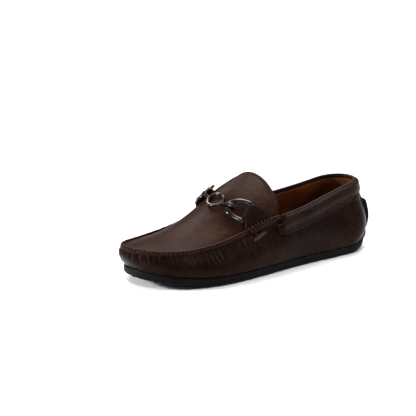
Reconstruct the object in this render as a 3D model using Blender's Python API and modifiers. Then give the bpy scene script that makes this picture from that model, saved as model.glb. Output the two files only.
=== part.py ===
"""Driving moccasin for the left foot, modelled as its separate physical pieces.

Frame: +Z up, toe towards -Y, the outer (lateral) side of the foot towards +X.
The origin is on the ground, under the middle of the shoe. All sizes are in metres.

The leather skin is described by three curves that run round the shoe. They share one
outline angle, 0 at the back of the heel, +pi at the toe along the lateral side and
-pi at the toe along the medial side:
  feather line   where the upper meets the sole,
  top line       the edge of the foot opening behind the corner, the apron seam before it,
  tongue edge    the arch that closes the apron between the two corners.
Every layer of the upper is a copy of that skin at its own depth.
"""

import math

import bmesh
import bpy
import numpy as np

# Place of the origin, measured from the heel point on the last's long axis.
MIDDLE_X = 0.00242
MIDDLE_T = 0.13563

# Rubber sole.
SOLE_HEIGHT = 0.0077
SOLE_FLAT_START = 0.036
SOLE_FLAT_END = 0.181
TOE_SPRING = 0.0112
TOE_SPRING_RUN = 0.104
HEEL_LIFT = 0.0140
TREAD_DEPTH = 0.0015
RIM_WIDTH = 0.0045
PEBBLE_RADIUS = 0.0026
PEBBLE_PITCH = 0.0115

# Lines of the upper: distance from the heel, then the value there.
FEATHER_BACK, FEATHER_FRONT = 0.003, 0.2715
FEATHER_LATERAL = [(0.0, 0.0335), (0.030, 0.0348), (0.060, 0.0365), (0.100, 0.0390),
                   (0.140, 0.0447), (0.180, 0.0498), (0.205, 0.0508), (0.235, 0.0500),
                   (0.2715, 0.0470)]
FEATHER_MEDIAL = [(0.0, 0.0328), (0.030, 0.0335), (0.060, 0.0332), (0.100, 0.0320),
                  (0.140, 0.0362), (0.180, 0.0432), (0.205, 0.0458), (0.235, 0.0449),
                  (0.2715, 0.0432)]
FEATHER_HEEL_ROUND, FEATHER_TOE_ROUND = 0.034, 0.0785
TOP_BACK, TOP_FRONT = 0.0074, 0.2765
TOP_LATERAL = [(0.0074, 0.0210), (0.030, 0.0240), (0.060, 0.0285), (0.100, 0.0370),
               (0.1387, 0.0430), (0.165, 0.0445), (0.190, 0.0440), (0.2765, 0.0425)]
TOP_MEDIAL = [(0.0074, 0.0205), (0.030, 0.0230), (0.060, 0.0265), (0.100, 0.0330),
              (0.1387, 0.0385), (0.165, 0.0392), (0.190, 0.0395), (0.2765, 0.0385)]
TOP_HEEL_ROUND, TOP_TOE_ROUND = 0.026, 0.088
TOP_HEIGHT = [(0.0074, 0.0714), (0.025, 0.0696), (0.060, 0.0634), (0.100, 0.0570),
              (0.1387, 0.0530), (0.150, 0.0512), (0.175, 0.0450), (0.200, 0.0388),
              (0.225, 0.0352), (0.250, 0.0343), (0.2765, 0.0363)]
TOE_LEAN = 0.0022
ROUNDING = 2.35
CROWN = [(0.125, 0.0330), (0.1387, 0.0313), (0.150, 0.0293), (0.165, 0.0265),
         (0.180, 0.0205), (0.200, 0.0142), (0.225, 0.0092), (0.250, 0.0058),
         (0.265, 0.0038), (0.278, 0.0020)]
CROWN_POWER = [(0.125, 0.43), (0.165, 0.66), (0.200, 0.88), (0.278, 0.90)]
CROWN_SKEW = [(0.125, 0.30), (0.165, 0.24), (0.200, 0.06), (0.278, 0.0)]
CORNER_T = 0.1308
TONGUE_LEAN = 0.0046
WALL_OUT_LOW = [(0.0, 0.0096), (0.060, 0.0078), (0.200, 0.0080), (0.280, 0.0041)]
WALL_OUT_HIGH = [(0.0, 0.0042), (0.050, 0.0035), (0.1387, 0.0050), (0.200, 0.0070),
                 (0.280, 0.0035)]

# Leather layers, as depths below the outer skin.
GAP = 0.0003
LEATHER = 0.0014
STIFFENER_DEPTH, STIFFENER = 0.0017, 0.0007
LINING_DEPTH, LINING = 0.0027, 0.0008
BAND = 0.0016
FLANGE = 0.008
RIDGE_HEIGHT = 0.0030
RIDGE_HALF = 0.00155
BINDING_RADIUS = 0.00175
BINDING_CLEAR = 2 * BINDING_RADIUS + GAP
TONGUE_CLEAR = BINDING_CLEAR + 0.0014
BAND_HEIGHT = 0.0185
BAND_FRONT_T = 0.1372
BINDING_FRONT_T = CORNER_T - 0.0042
GUARD_TOP = 0.047
GUARD_THICK = 0.0058

# Ornament: two D-rings held in leather straps, and a link between their bows.
BAR_X, BAR_T = {1: 0.0335, -1: -0.0298}, 0.1650
BOW_PLAN_ANGLE = math.radians(34)
BOW_LENGTH = 0.0192
BOW_HALF_WIDTH = 0.0108
BAR_RADIUS = 0.0013
BOW_BAND, BOW_THICK = 0.0052, 0.0028
BAR_LIFT, BOW_LIFT = 0.0038, 0.0054
EYE_WALL, EYE_PLAY, EYE_WIDTH = 0.0009, 0.0028, 0.0036
OVAL_LONG, OVAL_WIDE, OVAL_LIFT = 0.0088, 0.0062, 0.0024
OVAL_T = 0.1765
STRAP_THICK = 0.0011
STRAP_HALF = 0.0080
STRAP_SEAM_T = (0.1465, 0.1720)
STRAP_SEAM_INSET = 0.0021

# Lacing and stitches.
LACING_T = (0.1440, 0.1715)
LACING_STRANDS = 9
SEAM_CROSSINGS = 46
SEAM_THREAD = 0.0007

# Sampling: the outline has this many steps, and the apron's grid starts at a step near its corner.
OUTLINE_STEPS = 64
CORNER_STEP = 15
CORNER = CORNER_STEP * 2 * math.pi / OUTLINE_STEPS
TOE_CORNER_STEPS = 6
WALL_ROWS = [0.0, 0.06, 0.15, 0.27, 0.41, 0.56, 0.70, 0.82, 0.92, 1.0]

UP = np.array([0.0, 0.0, 1.0])


# ---------------------------------------------------------------- curves of the last

def spline(knots, at):
    """Smooth curve through (position, value) knots, read at one or many positions."""
    xs = np.array([k[0] for k in knots])
    ys = np.array([k[1] for k in knots])
    slopes = np.gradient(ys, xs)
    at = np.clip(np.asarray(at, float), xs[0], xs[-1])
    i = np.clip(np.searchsorted(xs, at) - 1, 0, len(xs) - 2)
    h = xs[i + 1] - xs[i]
    u = (at - xs[i]) / h
    return ((1 + 2 * u) * (1 - u) ** 2 * ys[i] + u * (1 - u) ** 2 * h * slopes[i]
            + u * u * (3 - 2 * u) * ys[i + 1] + u * u * (u - 1) * h * slopes[i + 1])


def smooth_step(x, low, high):
    u = np.clip((np.asarray(x, float) - low) / (high - low), 0, 1)
    return u * u * (3 - 2 * u)


def rounded_ends(t, back, front, heel_round, toe_round):
    """1 along the sides of an outline, falling to 0 at its heel and toe as a superellipse."""
    heel = np.clip((back + heel_round - t) / heel_round, 0, 1)
    toe = np.clip((t - front + toe_round) / toe_round, 0, 1)
    return ((1 - heel ** ROUNDING) * (1 - toe ** ROUNDING)) ** (1 / ROUNDING)


def place(x, t, z):
    """Point of the model from side distance, distance from the heel, and height."""
    x, t, z = np.broadcast_arrays(np.asarray(x, float), t, z)
    return np.stack([x - MIDDLE_X, MIDDLE_T - t, z], -1)


def unit(v):
    v = np.asarray(v, float)
    return v / np.linalg.norm(v, axis=-1, keepdims=True)


def ring_x(t, phi, lateral, medial, ends):
    side = np.where(np.sin(phi) >= 0, 1.0, -1.0)
    width = np.where(side > 0, spline(lateral, t), spline(medial, t))
    lean = -TOE_LEAN * np.clip((t - 0.18) / 0.1, 0, None) ** 2
    return side * width * rounded_ends(t, *ends) + lean


def sole_bottom(t):
    toe = np.clip((t - SOLE_FLAT_END) / TOE_SPRING_RUN, 0, None)
    heel = np.clip((SOLE_FLAT_START - t) / SOLE_FLAT_START, 0, None)
    return TOE_SPRING * toe ** 2 + HEEL_LIFT * heel ** 2


def feather(phi):
    t = FEATHER_BACK + (FEATHER_FRONT - FEATHER_BACK) * (1 - np.cos(phi)) / 2
    ends = (FEATHER_BACK, FEATHER_FRONT, FEATHER_HEEL_ROUND, FEATHER_TOE_ROUND)
    x = ring_x(t, phi, FEATHER_LATERAL, FEATHER_MEDIAL, ends)
    return place(x, t, sole_bottom(t) + SOLE_HEIGHT)


def outward(phi):
    """Level direction that points away from the shoe, square to the feather line."""
    step = 0.02
    along = feather(phi + step) - feather(phi - step)
    return unit(np.stack([-along[..., 1], along[..., 0], 0 * along[..., 0]], -1))


def top_t(phi):
    return TOP_BACK + (TOP_FRONT - TOP_BACK) * (1 - np.cos(phi)) / 2


def top_line(phi):
    t = top_t(phi)
    ends = (TOP_BACK, TOP_FRONT, TOP_HEEL_ROUND, TOP_TOE_ROUND)
    x = ring_x(t, phi, TOP_LATERAL, TOP_MEDIAL, ends)
    return place(x, t, spline(TOP_HEIGHT, t))


def seam_share(phi):
    """0 at the foot opening, 1 along the apron seam."""
    return smooth_step(top_t(phi), CORNER_T - 0.0020, CORNER_T + 0.0035)


def ridge_frame(phi):
    """Directions up the standing seam, and across it towards the wall."""
    lean = np.radians(spline([(0.13, 38), (0.18, 52), (0.22, 66), (0.27, 72)], top_t(phi)))
    n = outward(phi)
    c, s = np.cos(lean)[..., None], np.sin(lean)[..., None]
    return c * n + s * UP, s * n - c * UP


def wall_top(phi):
    """Base and edge of the strip that ends the wall: the standing seam, or the opening."""
    share = seam_share(phi)[..., None]
    top = top_line(phi)
    up, across = ridge_frame(phi)
    base_seam = top - RIDGE_HEIGHT * up + RIDGE_HALF * across
    edge_seam = top + RIDGE_HALF * across
    base_rim = top - (BINDING_CLEAR + 0.0020) * UP
    edge_rim = top - BINDING_CLEAR * UP
    return (base_rim + share * (base_seam - base_rim),
            edge_rim + share * (edge_seam - edge_rim))


def wall(phi, v):
    """Outer skin of the wall, from the feather line (v 0) to the base of its edge (v 1)."""
    phi, v = np.broadcast_arrays(np.asarray(phi, float), np.asarray(v, float))
    low = feather(phi)
    high = wall_top(phi)[0]
    n = outward(phi)
    t = top_t(phi)
    rise = (high - low)[..., 2:3] * UP
    a = low + spline(WALL_OUT_LOW, t)[..., None] * n + 0.30 * rise
    b = high + spline(WALL_OUT_HIGH, t)[..., None] * n - 0.36 * rise
    v = v[..., None]
    return ((1 - v) ** 3 * low + 3 * (1 - v) ** 2 * v * a
            + 3 * (1 - v) * v ** 2 * b + v ** 3 * high)


def wall_normal(phi, v):
    step = 0.004
    along = wall(phi + step, v) - wall(phi - step, v)
    rise = wall(phi, np.minimum(v + step, 1)) - wall(phi, np.maximum(v - step, 0))
    return unit(np.cross(rise, along))


def apron_base(phi, inset=0.0):
    """Line where the apron turns up into the standing seam, or one that much inside it."""
    up, across = ridge_frame(phi)
    share = seam_share(phi)[..., None]
    base = top_line(phi) - share * (0.0018 * up + RIDGE_HALF * across)
    return base - inset * outward(phi)


def apron_limits(t, inset=0.0):
    """Side distances of the apron's two edges at a distance from the heel, and its height there."""
    phi = np.linspace(CORNER - 0.35, math.pi, 240)
    edges = []
    for side in (1, -1):
        p = apron_base(side * phi, inset)
        order = MIDDLE_T - p[:, 1]
        edges.append(np.interp(t, order, p[:, 0] + MIDDLE_X))
        height = np.interp(t, order, p[:, 2])
    return edges[0], edges[1], height


def apron_height(x, t, inset=0.0):
    lateral, medial, base = apron_limits(t, inset)
    half = np.maximum((lateral - medial) / 2, 1e-6)
    a = np.clip((x - (lateral + medial) / 2) / half, -1, 1)
    a = a + spline(CROWN_SKEW, t) * (1 - a * a)
    return base + spline(CROWN, t) * np.maximum(1 - a * a, 0) ** spline(CROWN_POWER, t)


def apron_point(x, t):
    return place(x, t, apron_height(x, t))


def apron_normal(x, t):
    step = 0.0006
    lateral, medial, _ = apron_limits(t)
    x = np.clip(x, medial + 0.0012, lateral - 0.0012)
    dx = (apron_height(x + step, t) - apron_height(x - step, t)) / (2 * step)
    dt = (apron_height(x, t + step) - apron_height(x, t - step)) / (2 * step)
    return unit(np.stack([-dx, dt, np.ones_like(dx)], -1))


def plan_of(p):
    """Side distance and distance from the heel of a point."""
    return p[..., 0] + MIDDLE_X, MIDDLE_T - p[..., 1]


def outline_angles():
    return (np.arange(OUTLINE_STEPS) - OUTLINE_STEPS // 2) * 2 * math.pi / OUTLINE_STEPS


def angles_between(low, high):
    """Outline angles of the common sampling that lie between two angles."""
    step = 2 * math.pi / OUTLINE_STEPS
    return step * np.arange(math.ceil(low / step - 1e-6), math.floor(high / step + 1e-6) + 1)


def angle_at(t):
    """Outline angle of the top line at a distance from the heel, on the lateral side."""
    return math.acos(1 - 2 * (t - TOP_BACK) / (TOP_FRONT - TOP_BACK))


def wall_share(phi, z):
    """Share of the way up the wall at which it reaches a height."""
    phi, z = np.broadcast_arrays(phi, z)
    v = np.linspace(0, 1, 61)
    levels = wall(phi.ravel()[:, None], v[None, :])[..., 2]
    return np.array([np.interp(h, row, v) for h, row in zip(z.ravel(), levels)]).reshape(z.shape)


def tongue_edge(inset=0.0, forward=0.0):
    """Side distances and distances from the heel along the arch over the instep."""
    a = np.linspace(1, -1, 2 * TOE_CORNER_STEPS + 1)
    corner = angle_at(CORNER_T + 0.005)
    lateral, _ = plan_of(apron_base(np.array(corner), inset))
    medial, _ = plan_of(apron_base(np.array(-corner), inset))
    x = (lateral + medial) / 2 + a * (lateral - medial) / 2
    return x, CORNER_T + forward - TONGUE_LEAN * np.cos(a * math.pi / 2)


def coons_plan(inset, forward):
    """Grid of (side, heel distance) that covers the apron, from the tongue to the toe."""
    step = 2 * math.pi / OUTLINE_STEPS
    sides = CORNER + step * np.arange(OUTLINE_STEPS // 2 - CORNER_STEP - TOE_CORNER_STEPS + 1)
    toe = np.linspace(sides[-1], 2 * math.pi - sides[-1], 2 * TOE_CORNER_STEPS + 1)
    edge = np.stack(tongue_edge(inset, forward), -1)
    arc = np.stack(plan_of(apron_base(toe, inset)), -1)
    lateral = np.stack(plan_of(apron_base(sides, inset)), -1)
    medial = np.stack(plan_of(apron_base(-sides, inset)), -1)
    lateral[0], medial[0] = edge[0], edge[-1]
    i = np.linspace(0, 1, len(sides))[:, None, None]
    j = np.linspace(0, 1, len(arc))[None, :, None]
    ruled = (1 - i) * edge[None] + i * arc[None]
    sided = (1 - j) * lateral[:, None] + j * medial[:, None]
    corners = ((1 - i) * (1 - j) * edge[0] + (1 - i) * j * edge[-1]
               + i * (1 - j) * arc[0] + i * j * arc[-1])
    grid = ruled + sided - corners
    return grid[..., 0], grid[..., 1], sides, toe


def apron_layer(depth, inset, forward):
    x, t, _, _ = coons_plan(inset, forward)
    return apron_point(x, t) - depth * apron_normal(x, t)


def foot_of(p):
    """Point of the apron below a point, as side and heel distances, and the lift above it."""
    x, t = plan_of(p)
    lift = np.zeros_like(x)
    for _ in range(6):
        n = apron_normal(x, t)
        lift = np.sum((p - apron_point(x, t)) * n, -1)
        x, t = plan_of(p - lift[..., None] * n)
    return x, t, lift


# ---------------------------------------------------------------- Blender objects

def clear_scene():
    for obj in list(bpy.data.objects):
        bpy.data.objects.remove(obj, do_unlink=True)


def make_collection(name):
    collection = bpy.data.collections.new(name)
    bpy.context.scene.collection.children.link(collection)
    return collection


def make_material(name, colour, roughness, metallic=0.0):
    material = bpy.data.materials.new(name)
    material.use_nodes = True
    shader = material.node_tree.nodes["Principled BSDF"]
    shader.inputs["Base Color"].default_value = (*colour, 1.0)
    shader.inputs["Roughness"].default_value = roughness
    shader.inputs["Metallic"].default_value = metallic
    return material


def add_object(name, data, material, collection):
    obj = bpy.data.objects.new(name, data)
    obj.data.materials.append(material)
    collection.objects.link(obj)
    return obj


def mesh_from(name, points, faces, material, collection, closed=True):
    """Mesh object from points and faces, with doubled points merged."""
    mesh = bpy.data.meshes.new(name)
    mesh.from_pydata([tuple(p) for p in points], [], faces)
    b = bmesh.new()
    b.from_mesh(mesh)
    bmesh.ops.remove_doubles(b, verts=b.verts, dist=1e-6)
    if closed:
        bmesh.ops.recalc_face_normals(b, faces=b.faces)
    b.to_mesh(mesh)
    b.free()
    mesh.shade_smooth()
    mesh.set_sharp_from_angle(angle=math.radians(38))
    return add_object(name, mesh, material, collection)


def add_sheet(name, grid, thickness, material, collection, wrap=False, offset=-1):
    """Sheet of one thickness, below a grid of points that is listed row by row."""
    rows, columns = grid.shape[:2]
    faces = []
    for r in range(rows if wrap else rows - 1):
        nxt = (r + 1) % rows
        for c in range(columns - 1):
            faces.append((r * columns + c, r * columns + c + 1,
                          nxt * columns + c + 1, nxt * columns + c))
    obj = mesh_from(name, grid.reshape(-1, 3), faces, material, collection, closed=False)
    solid = obj.modifiers.new("thickness", "SOLIDIFY")
    solid.thickness = thickness
    solid.offset = offset
    solid.use_even_offset = True
    return obj


def add_binding(name, points, material, collection):
    """Round edge tape along points, as a bevelled curve with filled caps."""
    curve = bpy.data.curves.new(name, "CURVE")
    curve.dimensions = "3D"
    curve.bevel_depth = BINDING_RADIUS
    curve.bevel_resolution = 2
    curve.use_fill_caps = True
    strand = curve.splines.new("POLY")
    strand.points.add(len(points) - 1)
    for knot, p in zip(strand.points, points):
        knot.co = (*p, 1.0)
    return add_object(name, curve, material, collection)


def add_group(name, meshes, material, collection):
    """One object from several separate closed meshes, each given as (points, faces)."""
    points, faces = [], []
    for some_points, some_faces in meshes:
        base = len(points)
        points += list(some_points)
        faces += [tuple(base + i for i in f) for f in some_faces]
    return mesh_from(name, points, faces, material, collection)


def add_boolean(obj, tool, operation):
    tool.hide_render = True
    tool.display_type = "WIRE"
    step = obj.modifiers.new(operation.lower(), "BOOLEAN")
    step.operation = operation
    step.solver = "EXACT"
    step.object = tool


def sweep(path, sides, ups, profiles, closed=False):
    """(points, faces) of a bar: one profile of (side, up) pairs for each point of the path."""
    k = len(profiles[0])
    points = [p + a * s + b * u
              for p, s, u, profile in zip(path, sides, ups, profiles) for a, b in profile]
    n = len(path)
    faces = []
    for r in range(n if closed else n - 1):
        nxt = (r + 1) % n
        for c in range(k):
            d = (c + 1) % k
            faces.append((r * k + c, nxt * k + c, nxt * k + d, r * k + d))
    if not closed:
        faces.append(tuple(range(k)))
        faces.append(tuple(range((n - 1) * k, n * k))[::-1])
    return points, faces


def flat_profile(width, height, chamfer):
    """Eight-sided outline of a flat bar with its corners taken off."""
    w, h, c = width / 2, height / 2, chamfer
    return [(w, h - c), (w - c, h), (c - w, h), (-w, h - c),
            (-w, c - h), (c - w, -h), (w - c, -h), (w, c - h)]


def brick(centre, along, across, up, size):
    """(points, faces) of a small block with its edges along three directions."""
    axes = [along * size[0] / 2, across * size[1] / 2, up * size[2] / 2]
    points = [centre + i * axes[0] + j * axes[1] + k * axes[2]
              for i in (-1, 1) for j in (-1, 1) for k in (-1, 1)]
    faces = [(0, 1, 3, 2), (4, 6, 7, 5), (0, 4, 5, 1), (2, 3, 7, 6), (0, 2, 6, 4), (1, 5, 7, 3)]
    return points, faces


# ---------------------------------------------------------------- sole

def heel_bump(phi):
    return 1 - smooth_step(np.abs(phi), 0.15, 0.36)


def sole_side(phi, rim_out):
    """Half of one cross-section of the sole, from its top edge to the floor of the tread."""
    p = feather(phi)
    n = outward(phi)
    x, t = plan_of(p)
    foot = place(x, t, sole_bottom(t))
    half = abs(x)
    inner = min(0.0018 + RIM_WIDTH, half)
    deep = min(inner + 0.0006, half)
    return [p - GAP * UP + n * (rim_out - 0.0004), foot + n * rim_out + 0.55 * SOLE_HEIGHT * UP,
            foot + n * (rim_out - min(0.0018, half)), foot - n * (inner - rim_out),
            foot - n * (deep - rim_out) + TREAD_DEPTH * UP]


def inside_tread(x, t, margin):
    phi = math.acos(max(-1.0, min(1.0, 1 - 2 * (t - FEATHER_BACK) / (FEATHER_FRONT - FEATHER_BACK))))
    lateral, _ = plan_of(feather(np.array(phi)))
    medial, _ = plan_of(feather(np.array(-phi)))
    return medial + margin < x < lateral - margin


def post(x, t, wide, long, sides):
    """Upright block with an oval outline that stands on the ground line of the sole."""
    angles = 2 * math.pi * np.arange(sides) / sides
    ts = t + long * np.sin(angles)
    lower = place(x + wide * np.cos(angles), ts, sole_bottom(ts))
    points = list(lower) + list(lower + (TREAD_DEPTH + 0.0006) * UP)
    faces = [tuple(range(sides)), tuple(range(sides, 2 * sides))[::-1]]
    faces += [(i, (i + 1) % sides, sides + (i + 1) % sides, sides + i) for i in range(sides)]
    return points, faces


def tread_blocks():
    """Round rubber pebbles in staggered rows, and a plain oval pad under the waist."""
    pad_x, pad_t, pad_wide, pad_long = 0.0035, 0.105, 0.0115, 0.021
    blocks = [post(pad_x, pad_t, pad_wide, pad_long, 20)]
    rows = int((0.238 - 0.030) / (PEBBLE_PITCH * 0.92))
    for row in range(rows + 1):
        t = 0.030 + row * PEBBLE_PITCH * 0.92
        for i in range(-5, 6):
            x = (i + 0.5 * (row % 2)) * PEBBLE_PITCH
            near_pad = abs(t - pad_t) < pad_long + 0.005
            if not near_pad and inside_tread(x, t, RIM_WIDTH + 0.008):
                blocks.append(post(x, t, PEBBLE_RADIUS, PEBBLE_RADIUS, 8))
    return blocks


def add_outsole(material, collection, tools):
    step = 2 * math.pi / OUTLINE_STEPS
    angles = [step * 0.35] + [step * i for i in range(1, OUTLINE_STEPS // 2)]
    angles.append(math.pi - step * 0.35)
    points, k = [], 10
    for a in angles:
        out = 0.0010 + 0.0054 * float(heel_bump(a))
        points += sole_side(np.array(a), out) + sole_side(np.array(-a), out)[::-1]
    faces = []
    last = (len(angles) - 1) * k
    for r in range(len(angles) - 1):
        for c in range(k):
            d = (c + 1) % k
            faces.append((r * k + c, (r + 1) * k + c, (r + 1) * k + d, r * k + d))
    for c in range(4):
        faces.append((c, c + 1, k - 2 - c, k - 1 - c))
        faces.append((last + c, last + k - 1 - c, last + k - 2 - c, last + c + 1))
    sole = mesh_from("outsole", points, faces, material, collection)
    treads = add_group("tread_blocks", tread_blocks(), material, tools)
    add_boolean(sole, treads, "UNION")


def add_footbed_layer(name, inset, top, thickness, material, collection):
    """Flat piece that follows the foot's outline inside the upper."""
    step = 2 * math.pi / OUTLINE_STEPS
    angles = [step * 0.6] + [step * i for i in range(1, OUTLINE_STEPS // 2)] + [math.pi - step * 0.6]
    rows = []
    for a in angles:
        a = np.array(a)
        lateral = feather(a) - inset * outward(a)
        medial = feather(-a) - inset * outward(-a)
        row = np.array([lateral, (2 * lateral + medial) / 3, (lateral + 2 * medial) / 3, medial])
        t = MIDDLE_T - row[:, 1]
        slope = (sole_bottom(t + 0.001) - sole_bottom(t - 0.001)) / 0.002
        row[:, 2] = sole_bottom(t) + SOLE_HEIGHT + top * np.sqrt(1 + slope ** 2)
        rows.append(row)
    add_sheet(name, np.array(rows), thickness, material, collection)


# ---------------------------------------------------------------- upper

def add_vamp(material, collection):
    rim_end = angle_at(BINDING_FRONT_T + 0.0020)
    phi = np.sort(np.concatenate([outline_angles(), [-rim_end, rim_end]]))
    skin = wall(phi[:, None], np.array(WALL_ROWS)[None, :])
    edge = wall_top(phi)[1][:, None]
    under = (feather(phi) - FLANGE * outward(phi))[:, None]
    under[..., 2] = sole_bottom(MIDDLE_T - under[..., 1]) + SOLE_HEIGHT
    grid = np.concatenate([under, skin, edge], axis=1)
    add_sheet("vamp", grid, LEATHER, material, collection, wrap=True)


def add_wall_panel(name, angles, rows, depth, thickness, material, collection):
    """Sheet at a depth below the wall's skin. rows may differ from angle to angle."""
    rows = np.asarray(rows, float)
    rows = np.broadcast_to(rows, (len(angles), rows.shape[-1]))
    phi = np.broadcast_to(np.asarray(angles)[:, None], rows.shape)
    grid = wall(phi, rows) - depth * wall_normal(phi, rows)
    add_sheet(name, grid, thickness, material, collection)


def add_apron(material, collection):
    x, t, sides, toe = coons_plan(0.0, TONGUE_CLEAR)
    inner = apron_point(x, t)
    rows, columns = inner.shape[:2]
    grid = np.zeros((rows + 1, columns + 2, 3))
    grid[:-1, 1:-1] = inner
    edge = lambda phi: top_line(phi) - RIDGE_HALF * ridge_frame(phi)[1]
    lateral, medial = sides.copy(), -sides
    lateral[0] = angle_at(CORNER_T + TONGUE_CLEAR)
    medial[0] = -lateral[0]
    grid[:-1, 0], grid[:-1, -1] = edge(lateral), edge(medial)
    for column in (0, -1):
        grid[0, column, 1] = inner[0, column, 1]
    grid[-1, 1:-1] = edge(toe)
    grid[-1, 0], grid[-1, -1] = grid[-1, 1], grid[-1, -2]
    add_sheet("apron", grid, LEATHER, material, collection)


def band_angles():
    front = angle_at(BAND_FRONT_T)
    inner = angles_between(-front + 0.05, front - 0.05)
    return np.concatenate([[-front], inner, [front]])


def band_rows(angles):
    """Shares up the wall of the collar band, whose front corners are rounded below."""
    t = top_t(angles)
    top = spline(TOP_HEIGHT, t)
    front = np.clip((t - BAND_FRONT_T + 0.008) / 0.008, 0, 1)
    low = top - BAND_HEIGHT + 0.0055 * (1 - np.sqrt(1 - 0.96 * front ** 2))
    high = top - BINDING_CLEAR - 0.0006 - 0.0045 * smooth_step(t, CORNER_T - 0.006, CORNER_T + 0.002)
    return np.array([wall_share(angles, low + s * (high - low)) for s in (0, 0.3, 0.65, 1)]).T


def add_bindings(material, collection):
    front = angle_at(BINDING_FRONT_T)
    phi = np.concatenate([[-front], angles_between(-front + 0.05, front - 0.05), [front]])
    fine = np.interp(np.linspace(0, len(phi) - 1, 2 * len(phi) - 1), np.arange(len(phi)), phi)
    centre = top_line(fine) - BINDING_RADIUS * (outward(fine) + UP)
    add_binding("topline_binding", centre, material, collection)
    x, t = tongue_edge(0.0030, BINDING_RADIUS + 0.0003)
    path = apron_point(x, t) - BINDING_RADIUS * apron_normal(x, t)
    add_binding("tongue_binding", path, material, collection)


def mitred(path, ups):
    """Side directions of a bar that turns sharp corners, long enough to keep its width."""
    ahead = unit(np.diff(path, axis=0))
    before, after = np.vstack([ahead[:1], ahead]), np.vstack([ahead, ahead[-1:]])
    mean = unit(before + after)
    stretch = 1 / np.maximum(np.sum(mean * after, -1), 0.5)
    return unit(np.cross(mean, ups)) * stretch[:, None]


def add_thread(name, path, ups, width, height, material, collection):
    path, ups = np.array(path), np.array(ups)
    w, h = width / 2, height / 2
    profile = [(w, h), (-w, h), (-w, -h), (w, -h)]
    points, faces = sweep(path, mitred(path, ups), ups, [profile] * len(path))
    mesh_from(name, points, faces, material, collection)


def add_seam_thread(material, collection):
    """Hand sewn thread that crosses the standing seam to and fro, all round the apron."""
    start = angle_at(LACING_T[1] + 0.004)
    path, ups = [], []
    for i, phi in enumerate(np.linspace(start, 2 * math.pi - start, 2 * SEAM_CROSSINGS)):
        up, across = ridge_frame(phi)
        side = 1 if (i // 2) % 2 else -1
        if i % 2 == 0:
            side = -side
        path.append(top_line(phi) + (GAP + SEAM_THREAD / 2) * up + side * 0.0013 * across)
        ups.append(up)
    add_thread("apron_stitching", path, ups, 0.0008, SEAM_THREAD, material, collection)


def add_side_lacing(side, material, lace, collection, word):
    """Plaited lace over the end of the seam, with two rows of strands, and its loose tab."""
    path, sides, ups, profiles = [], [], [], []
    for i in range(3 * LACING_STRANDS + 1):
        t = LACING_T[0] + i / (3 * LACING_STRANDS) * (LACING_T[1] - LACING_T[0])
        up, across = ridge_frame(np.array(side * angle_at(t)))
        strand = 0 if i % 3 == 0 else 1
        w, h = 0.0026 + 0.0007 * strand, 0.0012 + 0.0010 * strand
        path.append(top_line(np.array(side * angle_at(t))) + GAP * up + 0.0011 * across)
        sides.append(across)
        ups.append(up)
        profiles.append([(w, 0.0), (w, 0.55 * h), (0.62 * w, h), (0.28 * w, h), (0.0, 0.6 * h),
                         (-0.28 * w, h), (-0.62 * w, h), (-w, 0.55 * h), (-w, 0.0)])
    points, faces = sweep(path, sides, ups, profiles)
    mesh_from("side_lacing_" + word, points, faces, material, collection)
    ts = np.linspace(0.1545, 0.1675, 5)
    phi = side * np.array([angle_at(t) for t in ts])
    rows = np.array([0.78, 0.88])
    grid = phi[:, None] + 0 * rows[None, :], rows[None, :] + 0 * phi[:, None]
    skin = wall(*grid) + (GAP + 0.0012) * wall_normal(*grid)
    if side < 0:
        skin = skin[::-1]
    add_sheet("lace_tab_" + word, skin, 0.0012, lace, collection)


def add_heel_stitching(side, word, material, collection):
    """Thread up one edge of the rubber guard, proud at each stitch."""
    path, ups = [], []
    phi = np.array(side * 0.262)
    for i, z in enumerate(np.linspace(0.0205, 0.0455, 25)):
        v = np.array(wall_share([phi], [z])[0])
        n = wall_normal(phi, v)
        lift = GAP + 0.0003 + (0.0004 if i % 3 else 0.0)
        path.append(wall(phi, v) + lift * n)
        ups.append(n)
    add_thread("heel_stitching_" + word, path, ups, 0.0009, 0.0006, material, collection)


# ---------------------------------------------------------------- ornament

def ring_frame(side):
    """Middle of a D-ring's bar, then the directions to its bow, along its bar and up."""
    inward = np.array([-side * math.cos(BOW_PLAN_ANGLE), math.sin(BOW_PLAN_ANGLE)])
    x, t = BAR_X[side], BAR_T
    bar = apron_point(x, t) + BAR_LIFT * apron_normal(x, t)
    x, t = np.array([x, t]) + 0.0165 * inward
    bow = apron_point(x, t) + BOW_LIFT * apron_normal(x, t)
    e1 = unit(bow - bar)
    normal = unit(apron_normal(BAR_X[side], BAR_T) + apron_normal(x, t))
    e2 = unit(np.cross(normal, e1))
    return bar, e1, e2, np.cross(e1, e2)


def ring_path(bar, e1, e2):
    """Centre line of a D-ring, with how much of the bow's section each point has."""
    w, corner = BOW_HALF_WIDTH, 0.0030
    points, share = [], []
    for y in np.linspace(-w + 0.0022, w - 0.0022, 5):
        points.append((0.0, y))
        share.append(0.0)
    points.append((corner * 0.35, w))
    share.append(0.6)
    for a in np.linspace(math.pi / 2, -math.pi / 2, 15):
        bow = max(math.cos(a), 0.0) ** 0.8
        points.append((corner + (BOW_LENGTH - corner) * bow, w * math.sin(a)))
        share.append(1.0)
    points.append((corner * 0.35, -w))
    share.append(0.6)
    path = np.array([bar + u * e1 + v * e2 for u, v in points])
    return path, share


def add_ring(side, word, material, collection):
    bar, e1, e2, normal = ring_frame(side)
    path, share = ring_path(bar, e1, e2)
    along = unit(np.roll(path, -1, 0) - np.roll(path, 1, 0))
    sides = unit(np.cross(along, normal))
    ups = [normal] * len(path)
    bow = np.array(flat_profile(BOW_BAND, BOW_THICK, 0.0007))
    rod = np.array(flat_profile(2 * BAR_RADIUS, 2 * BAR_RADIUS, 0.00076))
    profiles = [rod + s * (bow - rod) for s in share]
    points, faces = sweep(path, sides, ups, profiles, closed=True)
    mesh_from("ring_" + word, points, faces, material, collection)


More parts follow.
